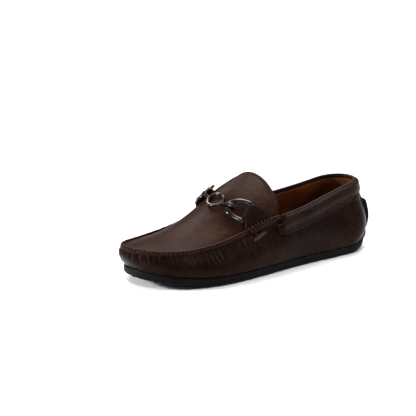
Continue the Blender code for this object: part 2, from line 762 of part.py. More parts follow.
def add_link(material, collection, tools):
    """Oval link with an eye at each end that holds a ring's bow."""
    angles = 2 * math.pi * np.arange(28) / 28
    x = OVAL_LONG * np.cos(angles)
    t = OVAL_T + OVAL_WIDE * np.sin(angles)
    normal = apron_normal(x, t)
    path = apron_point(x, t) + OVAL_LIFT * normal
    along = unit(np.roll(path, -1, 0) - np.roll(path, 1, 0))
    sides = unit(np.cross(along, normal))
    profile = flat_profile(0.0030, 0.0024, 0.0008)
    points, faces = sweep(path, sides, np.cross(sides, along), [profile] * len(path), closed=True)
    link = mesh_from("centre_link", points, faces, material, collection)
    eyes, slots, necks = [], [], []
    high = BOW_THICK / 2 + 0.0006
    for side in (1, -1):
        bar, e1, e2, up = ring_frame(side)
        bow = bar + BOW_LENGTH * e1
        inner, outer = BOW_BAND / 2 + 0.0004, -(BOW_BAND / 2 + 0.0004 + EYE_PLAY)
        middle, size = bow + e1 * (inner + outer) / 2, inner - outer
        slots.append(brick(middle, e1, e2, up, (size, 0.0060, 2 * high)))
        eyes.append(brick(middle, e1, e2, up,
                          (size + 2 * EYE_WALL, EYE_WIDTH, 2 * (high + EYE_WALL))))
        start = bow + e1 * (inner + 0.0006)
        end = path[0] if side > 0 else path[len(path) // 2]
        ahead = unit(end - start)
        across = unit(np.cross(up, ahead))
        neck = [start, start + 0.55 * (end - start), end]
        profile = flat_profile(0.0032, 0.0022, 0.0006)
        necks.append(sweep(neck, [across] * 3, [np.cross(ahead, across)] * 3, [profile] * 3))
    for name, meshes, operation in (("eye_blocks", eyes, "UNION"), ("necks", necks, "UNION"),
                                    ("eye_slots", slots, "DIFFERENCE")):
        add_boolean(link, add_group(name, meshes, material, tools), operation)


def add_strap(side, word, material, collection):
    """Strap from the lacing to the ring, round its bar and back, as one folded sheet."""
    bar, e1, e2, normal = ring_frame(side)
    across = np.linspace(-STRAP_HALF, STRAP_HALF, 6)
    radius = BAR_RADIUS + 1.9 * GAP + STRAP_THICK / 2
    seam_t = np.linspace(STRAP_SEAM_T[0], STRAP_SEAM_T[1], len(across))
    if np.dot(e2, [0, 1, 0]) > 0:
        seam_t = seam_t[::-1]
    phi = side * np.array([angle_at(t) for t in seam_t])
    seam_x, seam_t = plan_of(apron_base(phi, STRAP_SEAM_INSET))

    def leaf(level, seam_lift):
        line = bar + across[:, None] * e2 + level * radius * normal
        x, t, lift = foot_of(line)
        rows = []
        for s in (0.25, 0.5, 0.75, 1.0):
            px, pt = x + s * (seam_x - x), t + s * (seam_t - t)
            lifts = lift + smooth_step(s, 0.12, 1.0) * (seam_lift - lift)
            rows.append(apron_point(px, pt) + lifts[:, None] * apron_normal(px, pt))
        return rows

    lower = leaf(-1, GAP + STRAP_THICK / 2)
    upper = leaf(1, 2 * GAP + 1.5 * STRAP_THICK)
    fold = [bar + across[:, None] * e2 + radius * (math.cos(a) * e1 + math.sin(a) * normal)
            for a in np.linspace(-math.pi / 2, math.pi / 2, 7)]
    grid = np.array(lower[::-1] + fold + upper)
    add_sheet("strap_" + word, grid, STRAP_THICK, material, collection, offset=0)


# ---------------------------------------------------------------- the whole shoe

def main():
    clear_scene()
    shoe = make_collection("driving_moccasin")
    tools = make_collection("construction")
    dark = (0.030, 0.017, 0.013)
    leather = make_material("brown_leather", dark, 0.42)
    apron_leather = make_material("apron_leather", (0.060, 0.036, 0.028), 0.40)
    binding = make_material("binding_leather", (0.055, 0.020, 0.016), 0.5)
    strap = make_material("strap_leather", (0.040, 0.024, 0.019), 0.45)
    lace = make_material("lace_leather", (0.090, 0.050, 0.040), 0.5)
    thread = make_material("waxed_thread", (0.020, 0.012, 0.010), 0.5)
    lining = make_material("lining_leather", (0.065, 0.018, 0.006), 0.6)
    rubber = make_material("black_rubber", (0.008, 0.008, 0.008), 0.6)
    metal = make_material("gunmetal", (0.30, 0.30, 0.31), 0.16, 1.0)
    board = make_material("fibre_board", (0.28, 0.20, 0.12), 0.9)
    foam = make_material("foam", (0.55, 0.52, 0.46), 0.95)
    felt = make_material("stiffener_fibre", (0.20, 0.18, 0.15), 0.9)

    add_outsole(rubber, shoe, tools)
    add_vamp(leather, shoe)
    add_apron(apron_leather, shoe)

    # Layers inside the upper.
    rows = np.array(WALL_ROWS)
    step = 2 * math.pi / OUTLINE_STEPS
    quarter, front = angles_between(-13 * step, 13 * step), angles_between(14 * step, 50 * step)
    lining_rows = rows[1:9]
    add_wall_panel("quarter_lining", quarter, lining_rows, LINING_DEPTH, LINING, lining, shoe)
    add_wall_panel("vamp_lining", front, lining_rows, LINING_DEPTH, LINING, lining, shoe)
    add_sheet("apron_lining", apron_layer(LINING_DEPTH + 0.0006, 0.0026, TONGUE_CLEAR + 0.0018), LINING,
              lining, shoe)
    add_wall_panel("heel_counter", angles_between(-9 * step, 9 * step), rows[1:6],
                   STIFFENER_DEPTH, STIFFENER, felt, shoe)
    add_wall_panel("toe_puff", angles_between(23 * step, 41 * step), rows[1:9],
                   STIFFENER_DEPTH, STIFFENER, felt, shoe)
    add_wall_panel("collar_foam", angles_between(-15 * step, 15 * step), rows[6:9],
                   STIFFENER_DEPTH, STIFFENER, foam, shoe)

    # Pieces on the outside of the upper.
    angles = band_angles()
    add_wall_panel("collar_band", angles, band_rows(angles), -(GAP + BAND), BAND, leather, shoe)
    add_bindings(binding, shoe)
    guard = angles_between(-2 * step, 2 * step)
    guard_foot = feather(guard)[:, 2] + 0.0034
    guard_rows = np.array([wall_share(guard, guard_foot + share * (GUARD_TOP - guard_foot))
                           for share in np.linspace(0, 1, 6)]).T
    add_wall_panel("heel_guard", guard, guard_rows, -(GAP + GUARD_THICK), GUARD_THICK, rubber, shoe)
    tab_low, tab_high = GUARD_TOP + 0.0006, spline(TOP_HEIGHT, TOP_BACK) - BAND_HEIGHT - 0.0006
    tab_rows = np.array([wall_share(guard, np.full(len(guard), z)) for z in (tab_low, tab_high)]).T
    add_wall_panel("back_tab", guard, tab_rows, -(GAP + 0.0012), 0.0012, leather, shoe)
    add_seam_thread(thread, shoe)

    for side, word in ((1, "lateral"), (-1, "medial")):
        add_side_lacing(side, strap, lace, shoe, word)
        add_heel_stitching(side, word, thread, shoe)
        add_strap(side, word, strap, shoe)
        add_ring(side, word, metal, shoe)
    add_link(metal, shoe, tools)

    # Footbed.
    add_footbed_layer("insole_board", 0.0044, 0.0029, 0.0012, board, shoe)
    add_footbed_layer("footbed_foam", 0.0044, 0.0062, 0.0027, foam, shoe)
    add_footbed_layer("sock_liner", 0.0044, 0.0076, 0.0009, lining, shoe)


main()
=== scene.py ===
"""Looks of the driving moccasin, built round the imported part."""

import math

import bmesh
import bpy
import numpy as np
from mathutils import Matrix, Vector


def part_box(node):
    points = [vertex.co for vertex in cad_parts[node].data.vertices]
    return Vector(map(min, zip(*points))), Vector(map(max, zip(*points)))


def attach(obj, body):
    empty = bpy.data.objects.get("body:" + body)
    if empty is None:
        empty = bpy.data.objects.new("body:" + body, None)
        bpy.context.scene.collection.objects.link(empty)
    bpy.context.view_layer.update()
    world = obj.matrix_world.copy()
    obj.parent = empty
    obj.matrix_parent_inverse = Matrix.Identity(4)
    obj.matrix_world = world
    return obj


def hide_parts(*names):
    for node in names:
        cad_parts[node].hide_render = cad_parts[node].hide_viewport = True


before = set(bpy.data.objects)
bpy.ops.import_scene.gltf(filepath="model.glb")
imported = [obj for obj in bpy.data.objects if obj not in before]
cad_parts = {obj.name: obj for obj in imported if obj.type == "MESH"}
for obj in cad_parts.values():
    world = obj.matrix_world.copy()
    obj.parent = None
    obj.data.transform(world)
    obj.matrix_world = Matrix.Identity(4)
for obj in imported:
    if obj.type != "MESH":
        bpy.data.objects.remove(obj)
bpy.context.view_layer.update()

# Place of the origin, measured from the heel point on the last's long axis.
MIDDLE_X = 0.00242
MIDDLE_T = 0.13563

# Rubber sole.
SOLE_HEIGHT = 0.0077
SOLE_FLAT_START = 0.036
SOLE_FLAT_END = 0.181
TOE_SPRING = 0.0112
TOE_SPRING_RUN = 0.104
HEEL_LIFT = 0.014
TREAD_DEPTH = 0.0015
RIM_WIDTH = 0.0045
PEBBLE_RADIUS = 0.0026
PEBBLE_PITCH = 0.0115

# Lines of the upper: distance from the heel, then the value there.
FEATHER_BACK, FEATHER_FRONT = 0.003, 0.2715
FEATHER_LATERAL = [(0.0, 0.0335), (0.03, 0.0348), (0.06, 0.0365), (0.1, 0.039), (0.14, 0.0447),
                   (0.18, 0.0498), (0.205, 0.0508), (0.235, 0.05), (0.2715, 0.047)]
FEATHER_MEDIAL = [(0.0, 0.0328), (0.03, 0.0335), (0.06, 0.0332), (0.1, 0.032), (0.14, 0.0362),
                  (0.18, 0.0432), (0.205, 0.0458), (0.235, 0.0449), (0.2715, 0.0432)]
FEATHER_HEEL_ROUND, FEATHER_TOE_ROUND = 0.034, 0.0785
TOP_BACK, TOP_FRONT = 0.0074, 0.2765
TOP_LATERAL = [(0.0074, 0.021), (0.03, 0.024), (0.06, 0.0285), (0.1, 0.037), (0.1387, 0.043),
               (0.165, 0.0445), (0.19, 0.044), (0.2765, 0.0425)]
TOP_MEDIAL = [(0.0074, 0.0205), (0.03, 0.023), (0.06, 0.0265), (0.1, 0.033), (0.1387, 0.0385),
              (0.165, 0.0392), (0.19, 0.0395), (0.2765, 0.0385)]
TOP_HEEL_ROUND, TOP_TOE_ROUND = 0.026, 0.088
TOP_HEIGHT = [(0.0074, 0.0714), (0.025, 0.0696), (0.06, 0.0634), (0.1, 0.057), (0.1387, 0.053),
              (0.15, 0.0512), (0.175, 0.045), (0.2, 0.0388), (0.225, 0.0352), (0.25, 0.0343),
              (0.2765, 0.0363)]
TOE_LEAN = 0.0022
ROUNDING = 2.35
CROWN = [(0.125, 0.033), (0.1387, 0.0313), (0.15, 0.0293), (0.165, 0.0265), (0.18, 0.0205),
         (0.2, 0.0142), (0.225, 0.0092), (0.25, 0.0058), (0.265, 0.0038), (0.278, 0.002)]
CROWN_POWER = [(0.125, 0.43), (0.165, 0.66), (0.2, 0.88), (0.278, 0.9)]
CROWN_SKEW = [(0.125, 0.3), (0.165, 0.24), (0.2, 0.06), (0.278, 0.0)]
CORNER_T = 0.1308
TONGUE_LEAN = 0.0046
WALL_OUT_LOW = [(0.0, 0.0096), (0.06, 0.0078), (0.2, 0.008), (0.28, 0.0041)]
WALL_OUT_HIGH = [(0.0, 0.0042), (0.05, 0.0035), (0.1387, 0.005), (0.2, 0.007), (0.28, 0.0035)]

# Leather thicknesses, and the edges and heights of the pieces.
GAP = 0.0003
UPPER_THICK, TRIM_THICK, LINING_THICK = 0.0014, 0.0011, 0.0008
FLANGE = 0.008
RIDGE_HEIGHT = 0.003
RIDGE_HALF = 0.00155
BINDING_RADIUS = 0.00175
BINDING_CLEAR = 2 * BINDING_RADIUS + GAP
BAND_HEIGHT = 0.0185
BAND_FRONT_T = 0.1372
BINDING_FRONT_T = CORNER_T - 0.0042
GUARD_TOP = 0.047
GUARD_THICK = 0.0058

# Ornament: two D-rings held in leather straps, and a link between their bows.
BAR_X, BAR_T = {1: 0.0335, -1: -0.0298}, 0.165
BOW_PLAN_ANGLE = math.radians(34)
BOW_LENGTH = 0.0192
BOW_HALF_WIDTH = 0.0108
BAR_RADIUS = 0.0013
BOW_BAND, BOW_THICK = 0.0052, 0.0028
BAR_LIFT, BOW_LIFT = 0.0038, 0.0054
EYE_WALL, EYE_PLAY, EYE_WIDTH = 0.0009, 0.0028, 0.0036
OVAL_LONG, OVAL_WIDE, OVAL_LIFT = 0.0088, 0.0062, 0.0024
OVAL_T = 0.1765
STRAP_THICK = 0.0011
STRAP_HALF = 0.008
STRAP_SEAM_T = (0.1465, 0.172)

# Lacing over the ends of the apron seam, from one distance from the heel to another.
LACING_T = (0.144, 0.1715)

# Sampling of the outline. The apron starts at a step near its corner.
OUTLINE_STEPS = 64
CORNER_STEP = 15
CORNER = CORNER_STEP * 2 * math.pi / OUTLINE_STEPS
TOE_CORNER_STEPS = 6
WALL_ROWS = [0.0, 0.06, 0.15, 0.27, 0.41, 0.56, 0.7, 0.82, 0.92, 1.0]
STEP_ANGLE = 2 * math.pi / OUTLINE_STEPS

# Soft lamps: name, place, aim, width, height, watts.
AREA_LIGHTS = (("overhead", (-1.2, 0.9, 3.6), (-1.2, 0.9, 0), 9.0, 9.0, 150),
               ("instep", (-1.0, 0.12, 0.92), (0, -0.02, 0.05), 0.45, 0.2, 5.5),
               ("toe", (-0.6, -1.15, 0.48), (0, -0.12, 0.03), 0.24, 0.14, 22),
               ("collar", (0.6, 0.98, 0.72), (0, 0.06, 0.05), 0.24, 0.16, 6.5),
               ("key", (0.5, -0.65, 1.1), (0, -0.03, 0.04), 0.16, 0.1, 6))

UP = np.array([0.0, 0.0, 1.0])
RNG = np.random.default_rng(7)


# ---------------- curves of the last

def spline(knots, at):
    """Smooth curve through (position, value) knots, read at one or many positions."""
    xs = np.array([k[0] for k in knots])
    ys = np.array([k[1] for k in knots])
    slopes = np.gradient(ys, xs)
    at = np.clip(np.asarray(at, float), xs[0], xs[-1])
    i = np.clip(np.searchsorted(xs, at) - 1, 0, len(xs) - 2)
    h = xs[i + 1] - xs[i]
    u = (at - xs[i]) / h
    return ((1 + 2 * u) * (1 - u) ** 2 * ys[i] + u * (1 - u) ** 2 * h * slopes[i]
            + u * u * (3 - 2 * u) * ys[i + 1] + u * u * (u - 1) * h * slopes[i + 1])


def smooth_step(x, low, high):
    u = np.clip((np.asarray(x, float) - low) / (high - low), 0, 1)
    return u * u * (3 - 2 * u)


def stretches(*spans):
    """Sample positions of several stretches end to end, each with start, end and count."""
    return np.concatenate([np.linspace(*span)[:-1] for span in spans] + [[spans[-1][1]]])


def rounded_ends(t, back, front, heel_round, toe_round):
    """1 along the sides of an outline, falling to 0 at its heel and toe as a superellipse."""
    heel = np.clip((back + heel_round - t) / heel_round, 0, 1)
    toe = np.clip((t - front + toe_round) / toe_round, 0, 1)
    return ((1 - heel ** ROUNDING) * (1 - toe ** ROUNDING)) ** (1 / ROUNDING)


def place(x, t, z):
    """Point of the model from side distance, distance from the heel, and height."""
    x, t, z = np.broadcast_arrays(np.asarray(x, float), t, z)
    return np.stack([x - MIDDLE_X, MIDDLE_T - t, z], -1)


def unit(v):
    v = np.asarray(v, float)
    return v / np.linalg.norm(v, axis=-1, keepdims=True)


def ring_x(t, phi, lateral, medial, ends):
    side = np.where(np.sin(phi) >= 0, 1.0, -1.0)
    width = np.where(side > 0, spline(lateral, t), spline(medial, t))
    lean = -TOE_LEAN * np.clip((t - 0.18) / 0.1, 0, None) ** 2
    return side * width * rounded_ends(t, *ends) + lean


def sole_bottom(t):
    toe = np.clip((t - SOLE_FLAT_END) / TOE_SPRING_RUN, 0, None)
    heel = np.clip((SOLE_FLAT_START - t) / SOLE_FLAT_START, 0, None)
    return TOE_SPRING * toe ** 2 + HEEL_LIFT * heel ** 2


def feather(phi):
    t = FEATHER_BACK + (FEATHER_FRONT - FEATHER_BACK) * (1 - np.cos(phi)) / 2
    ends = (FEATHER_BACK, FEATHER_FRONT, FEATHER_HEEL_ROUND, FEATHER_TOE_ROUND)
    x = ring_x(t, phi, FEATHER_LATERAL, FEATHER_MEDIAL, ends)
    return place(x, t, sole_bottom(t) + SOLE_HEIGHT)


def outward(phi):
    """Level direction that points away from the shoe, square to the feather line."""
    step = 0.02
    along = feather(phi + step) - feather(phi - step)
    return unit(np.stack([-along[..., 1], along[..., 0], 0 * along[..., 0]], -1))


def top_t(phi):
    return TOP_BACK + (TOP_FRONT - TOP_BACK) * (1 - np.cos(phi)) / 2


def top_line(phi):
    t = top_t(phi)
    ends = (TOP_BACK, TOP_FRONT, TOP_HEEL_ROUND, TOP_TOE_ROUND)
    x = ring_x(t, phi, TOP_LATERAL, TOP_MEDIAL, ends)
    return place(x, t, spline(TOP_HEIGHT, t))


def seam_share(phi):
    """0 at the foot opening, 1 along the apron seam."""
    return smooth_step(top_t(phi), CORNER_T - 0.002, CORNER_T + 0.0035)


def ridge_frame(phi):
    """Directions up the standing seam, and across it towards the wall."""
    lean = np.radians(spline([(0.13, 38), (0.18, 52), (0.22, 66), (0.27, 72)], top_t(phi)))
    n = outward(phi)
    c, s = np.cos(lean)[..., None], np.sin(lean)[..., None]
    return c * n + s * UP, s * n - c * UP


def wall_top(phi):
    """Base and edge of the strip that ends the wall: the standing seam, or the opening."""
    share = seam_share(phi)[..., None]
    top = top_line(phi)
    up, across = ridge_frame(phi)
    base_seam = top - RIDGE_HEIGHT * up + RIDGE_HALF * across
    edge_seam = top + RIDGE_HALF * across
    base_rim = top - (BINDING_CLEAR + 0.002) * UP
    edge_rim = top - BINDING_CLEAR * UP
    return (base_rim + share * (base_seam - base_rim),
            edge_rim + share * (edge_seam - edge_rim))


def wall(phi, v):
    """Outer skin of the wall, from the feather line (v 0) to the base of its edge (v 1)."""
    phi, v = np.broadcast_arrays(np.asarray(phi, float), np.asarray(v, float))
    low = feather(phi)
    high = wall_top(phi)[0]
    n = outward(phi)
    t = top_t(phi)
    rise = (high - low)[..., 2:3] * UP
    a = low + spline(WALL_OUT_LOW, t)[..., None] * n + 0.3 * rise
    b = high + spline(WALL_OUT_HIGH, t)[..., None] * n - 0.36 * rise
    v = v[..., None]
    return ((1 - v) ** 3 * low + 3 * (1 - v) ** 2 * v * a
            + 3 * (1 - v) * v ** 2 * b + v ** 3 * high)


def wall_normal(phi, v):
    step = 0.004
    along = wall(phi + step, v) - wall(phi - step, v)
    rise = wall(phi, np.minimum(v + step, 1)) - wall(phi, np.maximum(v - step, 0))
    return unit(np.cross(rise, along))


def above_wall(phi, v, lift):
    """Points of the wall, lifted square to it."""
    return wall(phi, v) + np.asarray(lift)[..., None] * wall_normal(phi, v)


def apron_base(phi, inset=0.0):
    """Line where the apron turns up into the standing seam, or one that much inside it."""
    up, across = ridge_frame(phi)
    share = seam_share(phi)[..., None]
    base = top_line(phi) - share * (0.0018 * up + RIDGE_HALF * across)
    return base - inset * outward(phi)


def apron_limits(t, inset=0.0):
    """Side distances of the apron's two edges at a distance from the heel, and its height there."""
    phi = np.linspace(CORNER - 0.35, math.pi, 240)
    edges = []
    for side in (1, -1):
        p = apron_base(side * phi, inset)
        order = MIDDLE_T - p[:, 1]
        edges.append(np.interp(t, order, p[:, 0] + MIDDLE_X))
        height = np.interp(t, order, p[:, 2])
    return edges[0], edges[1], height


def apron_height(x, t, inset=0.0):
    lateral, medial, base = apron_limits(t, inset)
    half = np.maximum((lateral - medial) / 2, 1e-6)
    a = np.clip((x - (lateral + medial) / 2) / half, -1, 1)
    a = a + spline(CROWN_SKEW, t) * (1 - a * a)
    return base + spline(CROWN, t) * np.maximum(1 - a * a, 0) ** spline(CROWN_POWER, t)


def apron_point(x, t):
    return place(x, t, apron_height(x, t))


def apron_normal(x, t):
    step = 0.0006
    lateral, medial, _ = apron_limits(t)
    x = np.clip(x, medial + 0.0012, lateral - 0.0012)
    dx = (apron_height(x + step, t) - apron_height(x - step, t)) / (2 * step)
    dt = (apron_height(x, t + step) - apron_height(x, t - step)) / (2 * step)
    return unit(np.stack([-dx, dt, np.ones_like(dx)], -1))


def plan_of(p):
    """Side distance and distance from the heel of a point."""
    return p[..., 0] + MIDDLE_X, MIDDLE_T - p[..., 1]


def angle_at(t):
    """Outline angle of the top line at a distance from the heel, on the lateral side."""
    return np.arccos(1 - 2 * (t - TOP_BACK) / (TOP_FRONT - TOP_BACK))


def wall_share(phi, z):
    """Share of the way up the wall at which it reaches a height."""
    phi, z = np.broadcast_arrays(phi, z)
    v = np.linspace(0, 1, 61)
    levels = wall(phi.ravel()[:, None], v[None, :])[..., 2]
    return np.array([np.interp(h, row, v) for h, row in zip(z.ravel(), levels)]).reshape(z.shape)


def above_apron(x, t, lift):
    """Points of the apron, lifted square to it."""
    return apron_point(x, t) + np.asarray(lift)[..., None] * apron_normal(x, t)


def foot_of(p):
    """Point of the apron below a point, as side and heel distances, and the lift above it."""
    x, t = plan_of(p)
    lift = np.zeros_like(x)
    for _ in range(6):
        n = apron_normal(x, t)
        lift = np.sum((p - apron_point(x, t)) * n, -1)
        x, t = plan_of(p - lift[..., None] * n)
    return x, t, lift


def settle_origin():
    """Place of the last in the frame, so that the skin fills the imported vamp's box."""
    low, high = (np.array(c, float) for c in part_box("vamp"))
    angles = (np.arange(OUTLINE_STEPS) - OUTLINE_STEPS // 2) * 2 * math.pi / OUTLINE_STEPS
    skin = wall(angles[:, None], np.array(WALL_ROWS)[None, :]).reshape(-1, 3)
    shift = (low + high - skin.min(0) - skin.max(0)) / 2
    return MIDDLE_X - float(shift[0]), MIDDLE_T + float(shift[1])


# ---------------- mesh helpers

def make_mesh(name, points, faces, materials, closed=False):
    """Object from points and faces. A closed body gets its faces turned outward."""
    mesh = bpy.data.meshes.new(name)
    mesh.from_pydata([tuple(map(float, p)) for p in points], [], faces)
    b = bmesh.new()
    b.from_mesh(mesh)
    bmesh.ops.remove_doubles(b, verts=b.verts, dist=1e-7)
    if closed:
        bmesh.ops.recalc_face_normals(b, faces=b.faces)
    b.to_mesh(mesh)
    b.free()
    mesh.shade_smooth()
    obj = bpy.data.objects.new(name, mesh)
    bpy.context.scene.collection.objects.link(obj)
    for material in materials:
        mesh.materials.append(material)
    return obj


def fit(obj, node=None, body="shoe"):
    """Puts a piece in its body, and hides the CAD node that it stands for."""
    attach(obj, body)
    if node:
        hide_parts(node)


def grid_faces(rows, columns, wrap):
    r = np.arange(rows if wrap else rows - 1)[:, None]
    c = np.arange(columns - 1)[None, :]
    n = (r + 1) % rows
    quads = np.stack([r * columns + c, r * columns + c + 1, n * columns + c + 1,
                      n * columns + c], -1).reshape(-1, 4)
    return [tuple(map(int, q)) for q in quads]


def sheet(name, grid, thickness, materials, wrap=False, offset=-1):
    """Sheet of leather over a grid of points. A second material is for its cut edges."""
    rows, columns = grid.shape[:2]
    obj = make_mesh(name, grid.reshape(-1, 3), grid_faces(rows, columns, wrap), materials)
    solid = obj.modifiers.new("thickness", "SOLIDIFY")
    solid.thickness = thickness
    solid.offset = offset
    solid.use_even_offset = False
    solid.material_offset_rim = len(materials) - 1
    return obj


def ring_faces(rings, k, closed=False):
    """Faces that join rings of k points each, one after another."""
    faces = []
    for r in range(rings if closed else rings - 1):
        after = (r + 1) % rings
        for c in range(k):
            d = (c + 1) % k
            faces.append((r * k + c, after * k + c, after * k + d, r * k + d))
    return faces


def sweep(path, sides, ups, profiles, closed=False):
    """Points and faces of a body with a profile at each point of a path."""
    k = len(profiles[0])
    points = [p + a * s + b * u
              for p, s, u, profile in zip(path, sides, ups, profiles) for a, b in profile]
    n = len(path)
    faces = ring_faces(n, k, closed)
    if not closed:
        faces.append(tuple(range(k)))
        faces.append(tuple(range((n - 1) * k, n * k))[::-1])
    return points, faces


def merged(name, meshes, material):
    """One piece from several closed meshes, each given as points and faces."""
    points, faces = [], []
    for some_points, some_faces in meshes:
        base = len(points)
        points += list(some_points)
        faces += [tuple(base + i for i in f) for f in some_faces]
    return make_mesh(name, points, faces, [material], closed=True)


def squared(value, power):
    """Sine or cosine drawn towards a rounded square's outline."""
    return np.sign(value) * np.abs(value) ** (2 / power)


def oval_profile(width, height, power=2.0, count=16):
    a = 2 * np.pi * (np.arange(count) + 0.5) / count
    x, y = squared(np.cos(a), power), squared(np.sin(a), power)
    return list(zip(width / 2 * x, height / 2 * y))


def frames_along(path, ups, closed=False):
    path = np.asarray(path, float)
    if closed:
        along = unit(np.roll(path, -1, 0) - np.roll(path, 1, 0))
    else:
        along = unit(np.gradient(path, axis=0))
    sides = unit(np.cross(along, ups))
    return sides, unit(np.cross(sides, along))


def tube(path, ups, profile, closed=False, taper=None):
    sides, up = frames_along(path, ups, closed)
    scale = np.ones(len(path)) if taper is None else taper
    profiles = [[(s * a, s * b) for a, b in profile] for s in scale]
    return sweep(np.asarray(path), sides, up, profiles, closed)


def pill(centre, along, across, up, length, width, height, rings=7, count=8, power=2.4):
    """Rounded grain with its long way along one direction: a stitch, strand or pebble."""
    u = np.linspace(-1, 1, rings)
    size = (1 - np.abs(u) ** power) ** (1 / power)
    size[0] = size[-1] = 0.22
    path = centre + np.outer(u * length / 2, along)
    profiles = [[(s * a, s * b) for a, b in oval_profile(width, height, 2.2, count)] for s in size]
    return sweep(path, [across] * rings, [up] * rings, profiles)


def run_along(line):
    """Distance along a line from its start, at each of its points."""
    return np.concatenate([[0], np.cumsum(np.linalg.norm(np.diff(line, axis=0), axis=1))])


def even_angles(phi_low, phi_high, pitch):
    """Angles between two limits whose points on the top line lie a pitch apart."""
    fine = np.linspace(phi_low, phi_high, 4000)
    run = run_along(top_line(fine))
    count = max(2, int(round(run[-1] / pitch)))
    return np.interp((np.arange(count) + 0.5) / count * run[-1], run, fine)


# ---------------- materials

class Finish:
    """A procedural material in the making, with short calls for its nodes."""

    def __init__(self, name):
        self.material = bpy.data.materials.new(name)
        self.material.use_nodes = True
        self.tree = self.material.node_tree
        self.shader = self.tree.nodes["Principled BSDF"]
        self.at = self.tree.nodes.new("ShaderNodeTexCoord").outputs["Object"]

    def feed(self, socket, value):
        """Links a socket to another one, or sets its value. A colour has three numbers."""
        if hasattr(value, "links"):
            self.tree.links.new(value, socket)
        else:
            socket.default_value = (*value, 1.0) if isinstance(value, tuple) else value

    def node(self, kind, **values):
        made = self.tree.nodes.new("ShaderNode" + kind)
        for key, value in values.items():
            if key in made.inputs:
                self.feed(made.inputs[key], value)
            else:
                setattr(made, key, value)
        return made

    def noise(self, scale, detail=2.0, **values):
        return self.node("TexNoise", Vector=self.at, Scale=scale, Detail=detail, **values).outputs["Fac"]

    def ramp(self, source, stops):
        made = self.node("ValToRGB", Fac=source)
        ends = made.color_ramp.elements
        while len(ends) < len(stops):
            ends.new(0.5)
        for end, (at, colour) in zip(ends, stops):
            end.position = at
            end.color = (*colour, 1.0)
        return made.outputs[0]

    def mix(self, factor, a, b, blend="MIX"):
        made = self.node("Mix", data_type="RGBA", blend_type=blend)
        for index, value in ((0, factor), (6, a), (7, b)):
            self.feed(made.inputs[index], value)
        return made.outputs[2]

    def maths(self, operation, a, b):
        made = self.node("Math", operation=operation)
        self.feed(made.inputs[0], a)
        self.feed(made.inputs[1], b)
        return made.outputs[0]

    def weighted(self, a, factor, b):
        """One value times a factor, plus another value."""
        return self.maths("ADD", self.maths("MULTIPLY", a, factor), b)

    def bump(self, height, strength, distance, **values):
        return self.node("Bump", Height=height, Strength=strength, Distance=distance, **values).outputs[0]

    def shade(self, colour, roughness, specular, normal=None, metallic=0.0):
        """Feeds the shader, and gives the finished material."""
        for name, value in (("Base Color", colour), ("Roughness", roughness), ("Metallic", metallic),
                            ("Specular IOR Level", specular), ("Normal", normal)):
            if value is not None:
                self.feed(self.shader.inputs[name], value)
        return self.material


def leather(name, base, light, dark, roughness, specular, cell=0.00085, wear=None, crease=0.0,
            wrinkle=0.5):
    """Grained leather: pebble cells with pores, mottled colour and lighter high spots."""
    made = Finish(name)
    warp = made.node("TexNoise", Vector=made.at, Scale=420.0, Detail=2.0).outputs["Color"]
    shifted = made.node("Mix", data_type="VECTOR")
    for index, value in ((0, 0.0009), (4, made.at), (5, warp)):
        made.feed(shifted.inputs[index], value)
    depth = made.node("TexVoronoi", feature="SMOOTH_F1", Vector=shifted.outputs[1], Scale=1 / cell,
                      Smoothness=0.35).outputs["Distance"]
    fine = made.noise(2600.0, 4.0, Roughness=0.6)
    broad = made.noise(38.0, 5.0, Roughness=0.55)
    patch = made.noise(170.0, 4.0, Roughness=0.6)
    tone = made.ramp(broad, [(0.3, dark), (0.52, base), (0.74, light)])
    mottle = made.ramp(patch, [(0.33, (0.74, 0.72, 0.71)), (0.67, (1.16, 1.14, 1.12))])
    colour = made.mix(1.0, tone, mottle, "MULTIPLY")
    pores = made.ramp(depth, [(0.0, (1.06, 1.06, 1.06)), (0.55, (1, 1, 1)), (0.95, (0.72, 0.7, 0.7))])
    colour = made.mix(0.8, colour, made.mix(1.0, colour, pores, "MULTIPLY"))
    if wear:
        point = made.node("NewGeometry").outputs["Pointiness"]
        worn = made.ramp(point, [(0.52, (0, 0, 0)), (0.6, (1, 1, 1))])
        colour = made.mix(made.maths("MULTIPLY", worn, 0.55), colour, wear)
    rough = made.weighted(depth, 0.1, made.weighted(patch, 0.22, roughness - 0.11))
    height = made.weighted(fine, 0.35, made.maths("MULTIPLY", made.maths("SUBTRACT", 1.0, depth), 0.6))
    if crease:
        height = made.weighted(made.noise(90.0, 3.0, Distortion=1.5), crease, height)
    soft = made.bump(made.noise(310.0, 3.0, Roughness=0.6, Distortion=0.8), wrinkle, 0.0006)
    made.feed(made.shader.inputs["Specular Tint"], (1.0, 0.72, 0.6))
    return made.shade(colour, rough, specular, made.bump(height, 0.55, 0.00022, Normal=soft))


def raw_edge(name, base, dark):
    """Cut edge of leather: matt fibres in fine layers."""
    made = Finish(name)
    fibres = made.noise(1500.0, 5.0, Roughness=0.7)
    tone = made.ramp(fibres, [(0.3, dark), (0.62, base)])
    layers = made.ramp(made.noise(160.0, 3.0), [(0.35, (0.7, 0.66, 0.64)), (0.65, (1.15, 1.12, 1.1))])
    return made.shade(made.mix(1.0, tone, layers, "MULTIPLY"), 0.62, 0.08,
                      made.bump(fibres, 0.5, 0.00018))


def thread_material(name, base, light):
    """Twisted waxed thread."""
    made = Finish(name)
    twist = made.noise(2200.0, 3.0, Distortion=0.6)
    return made.shade(made.ramp(twist, [(0.35, base), (0.7, light)]), 0.45, 0.15,
                      made.bump(twist, 0.6, 0.00012))


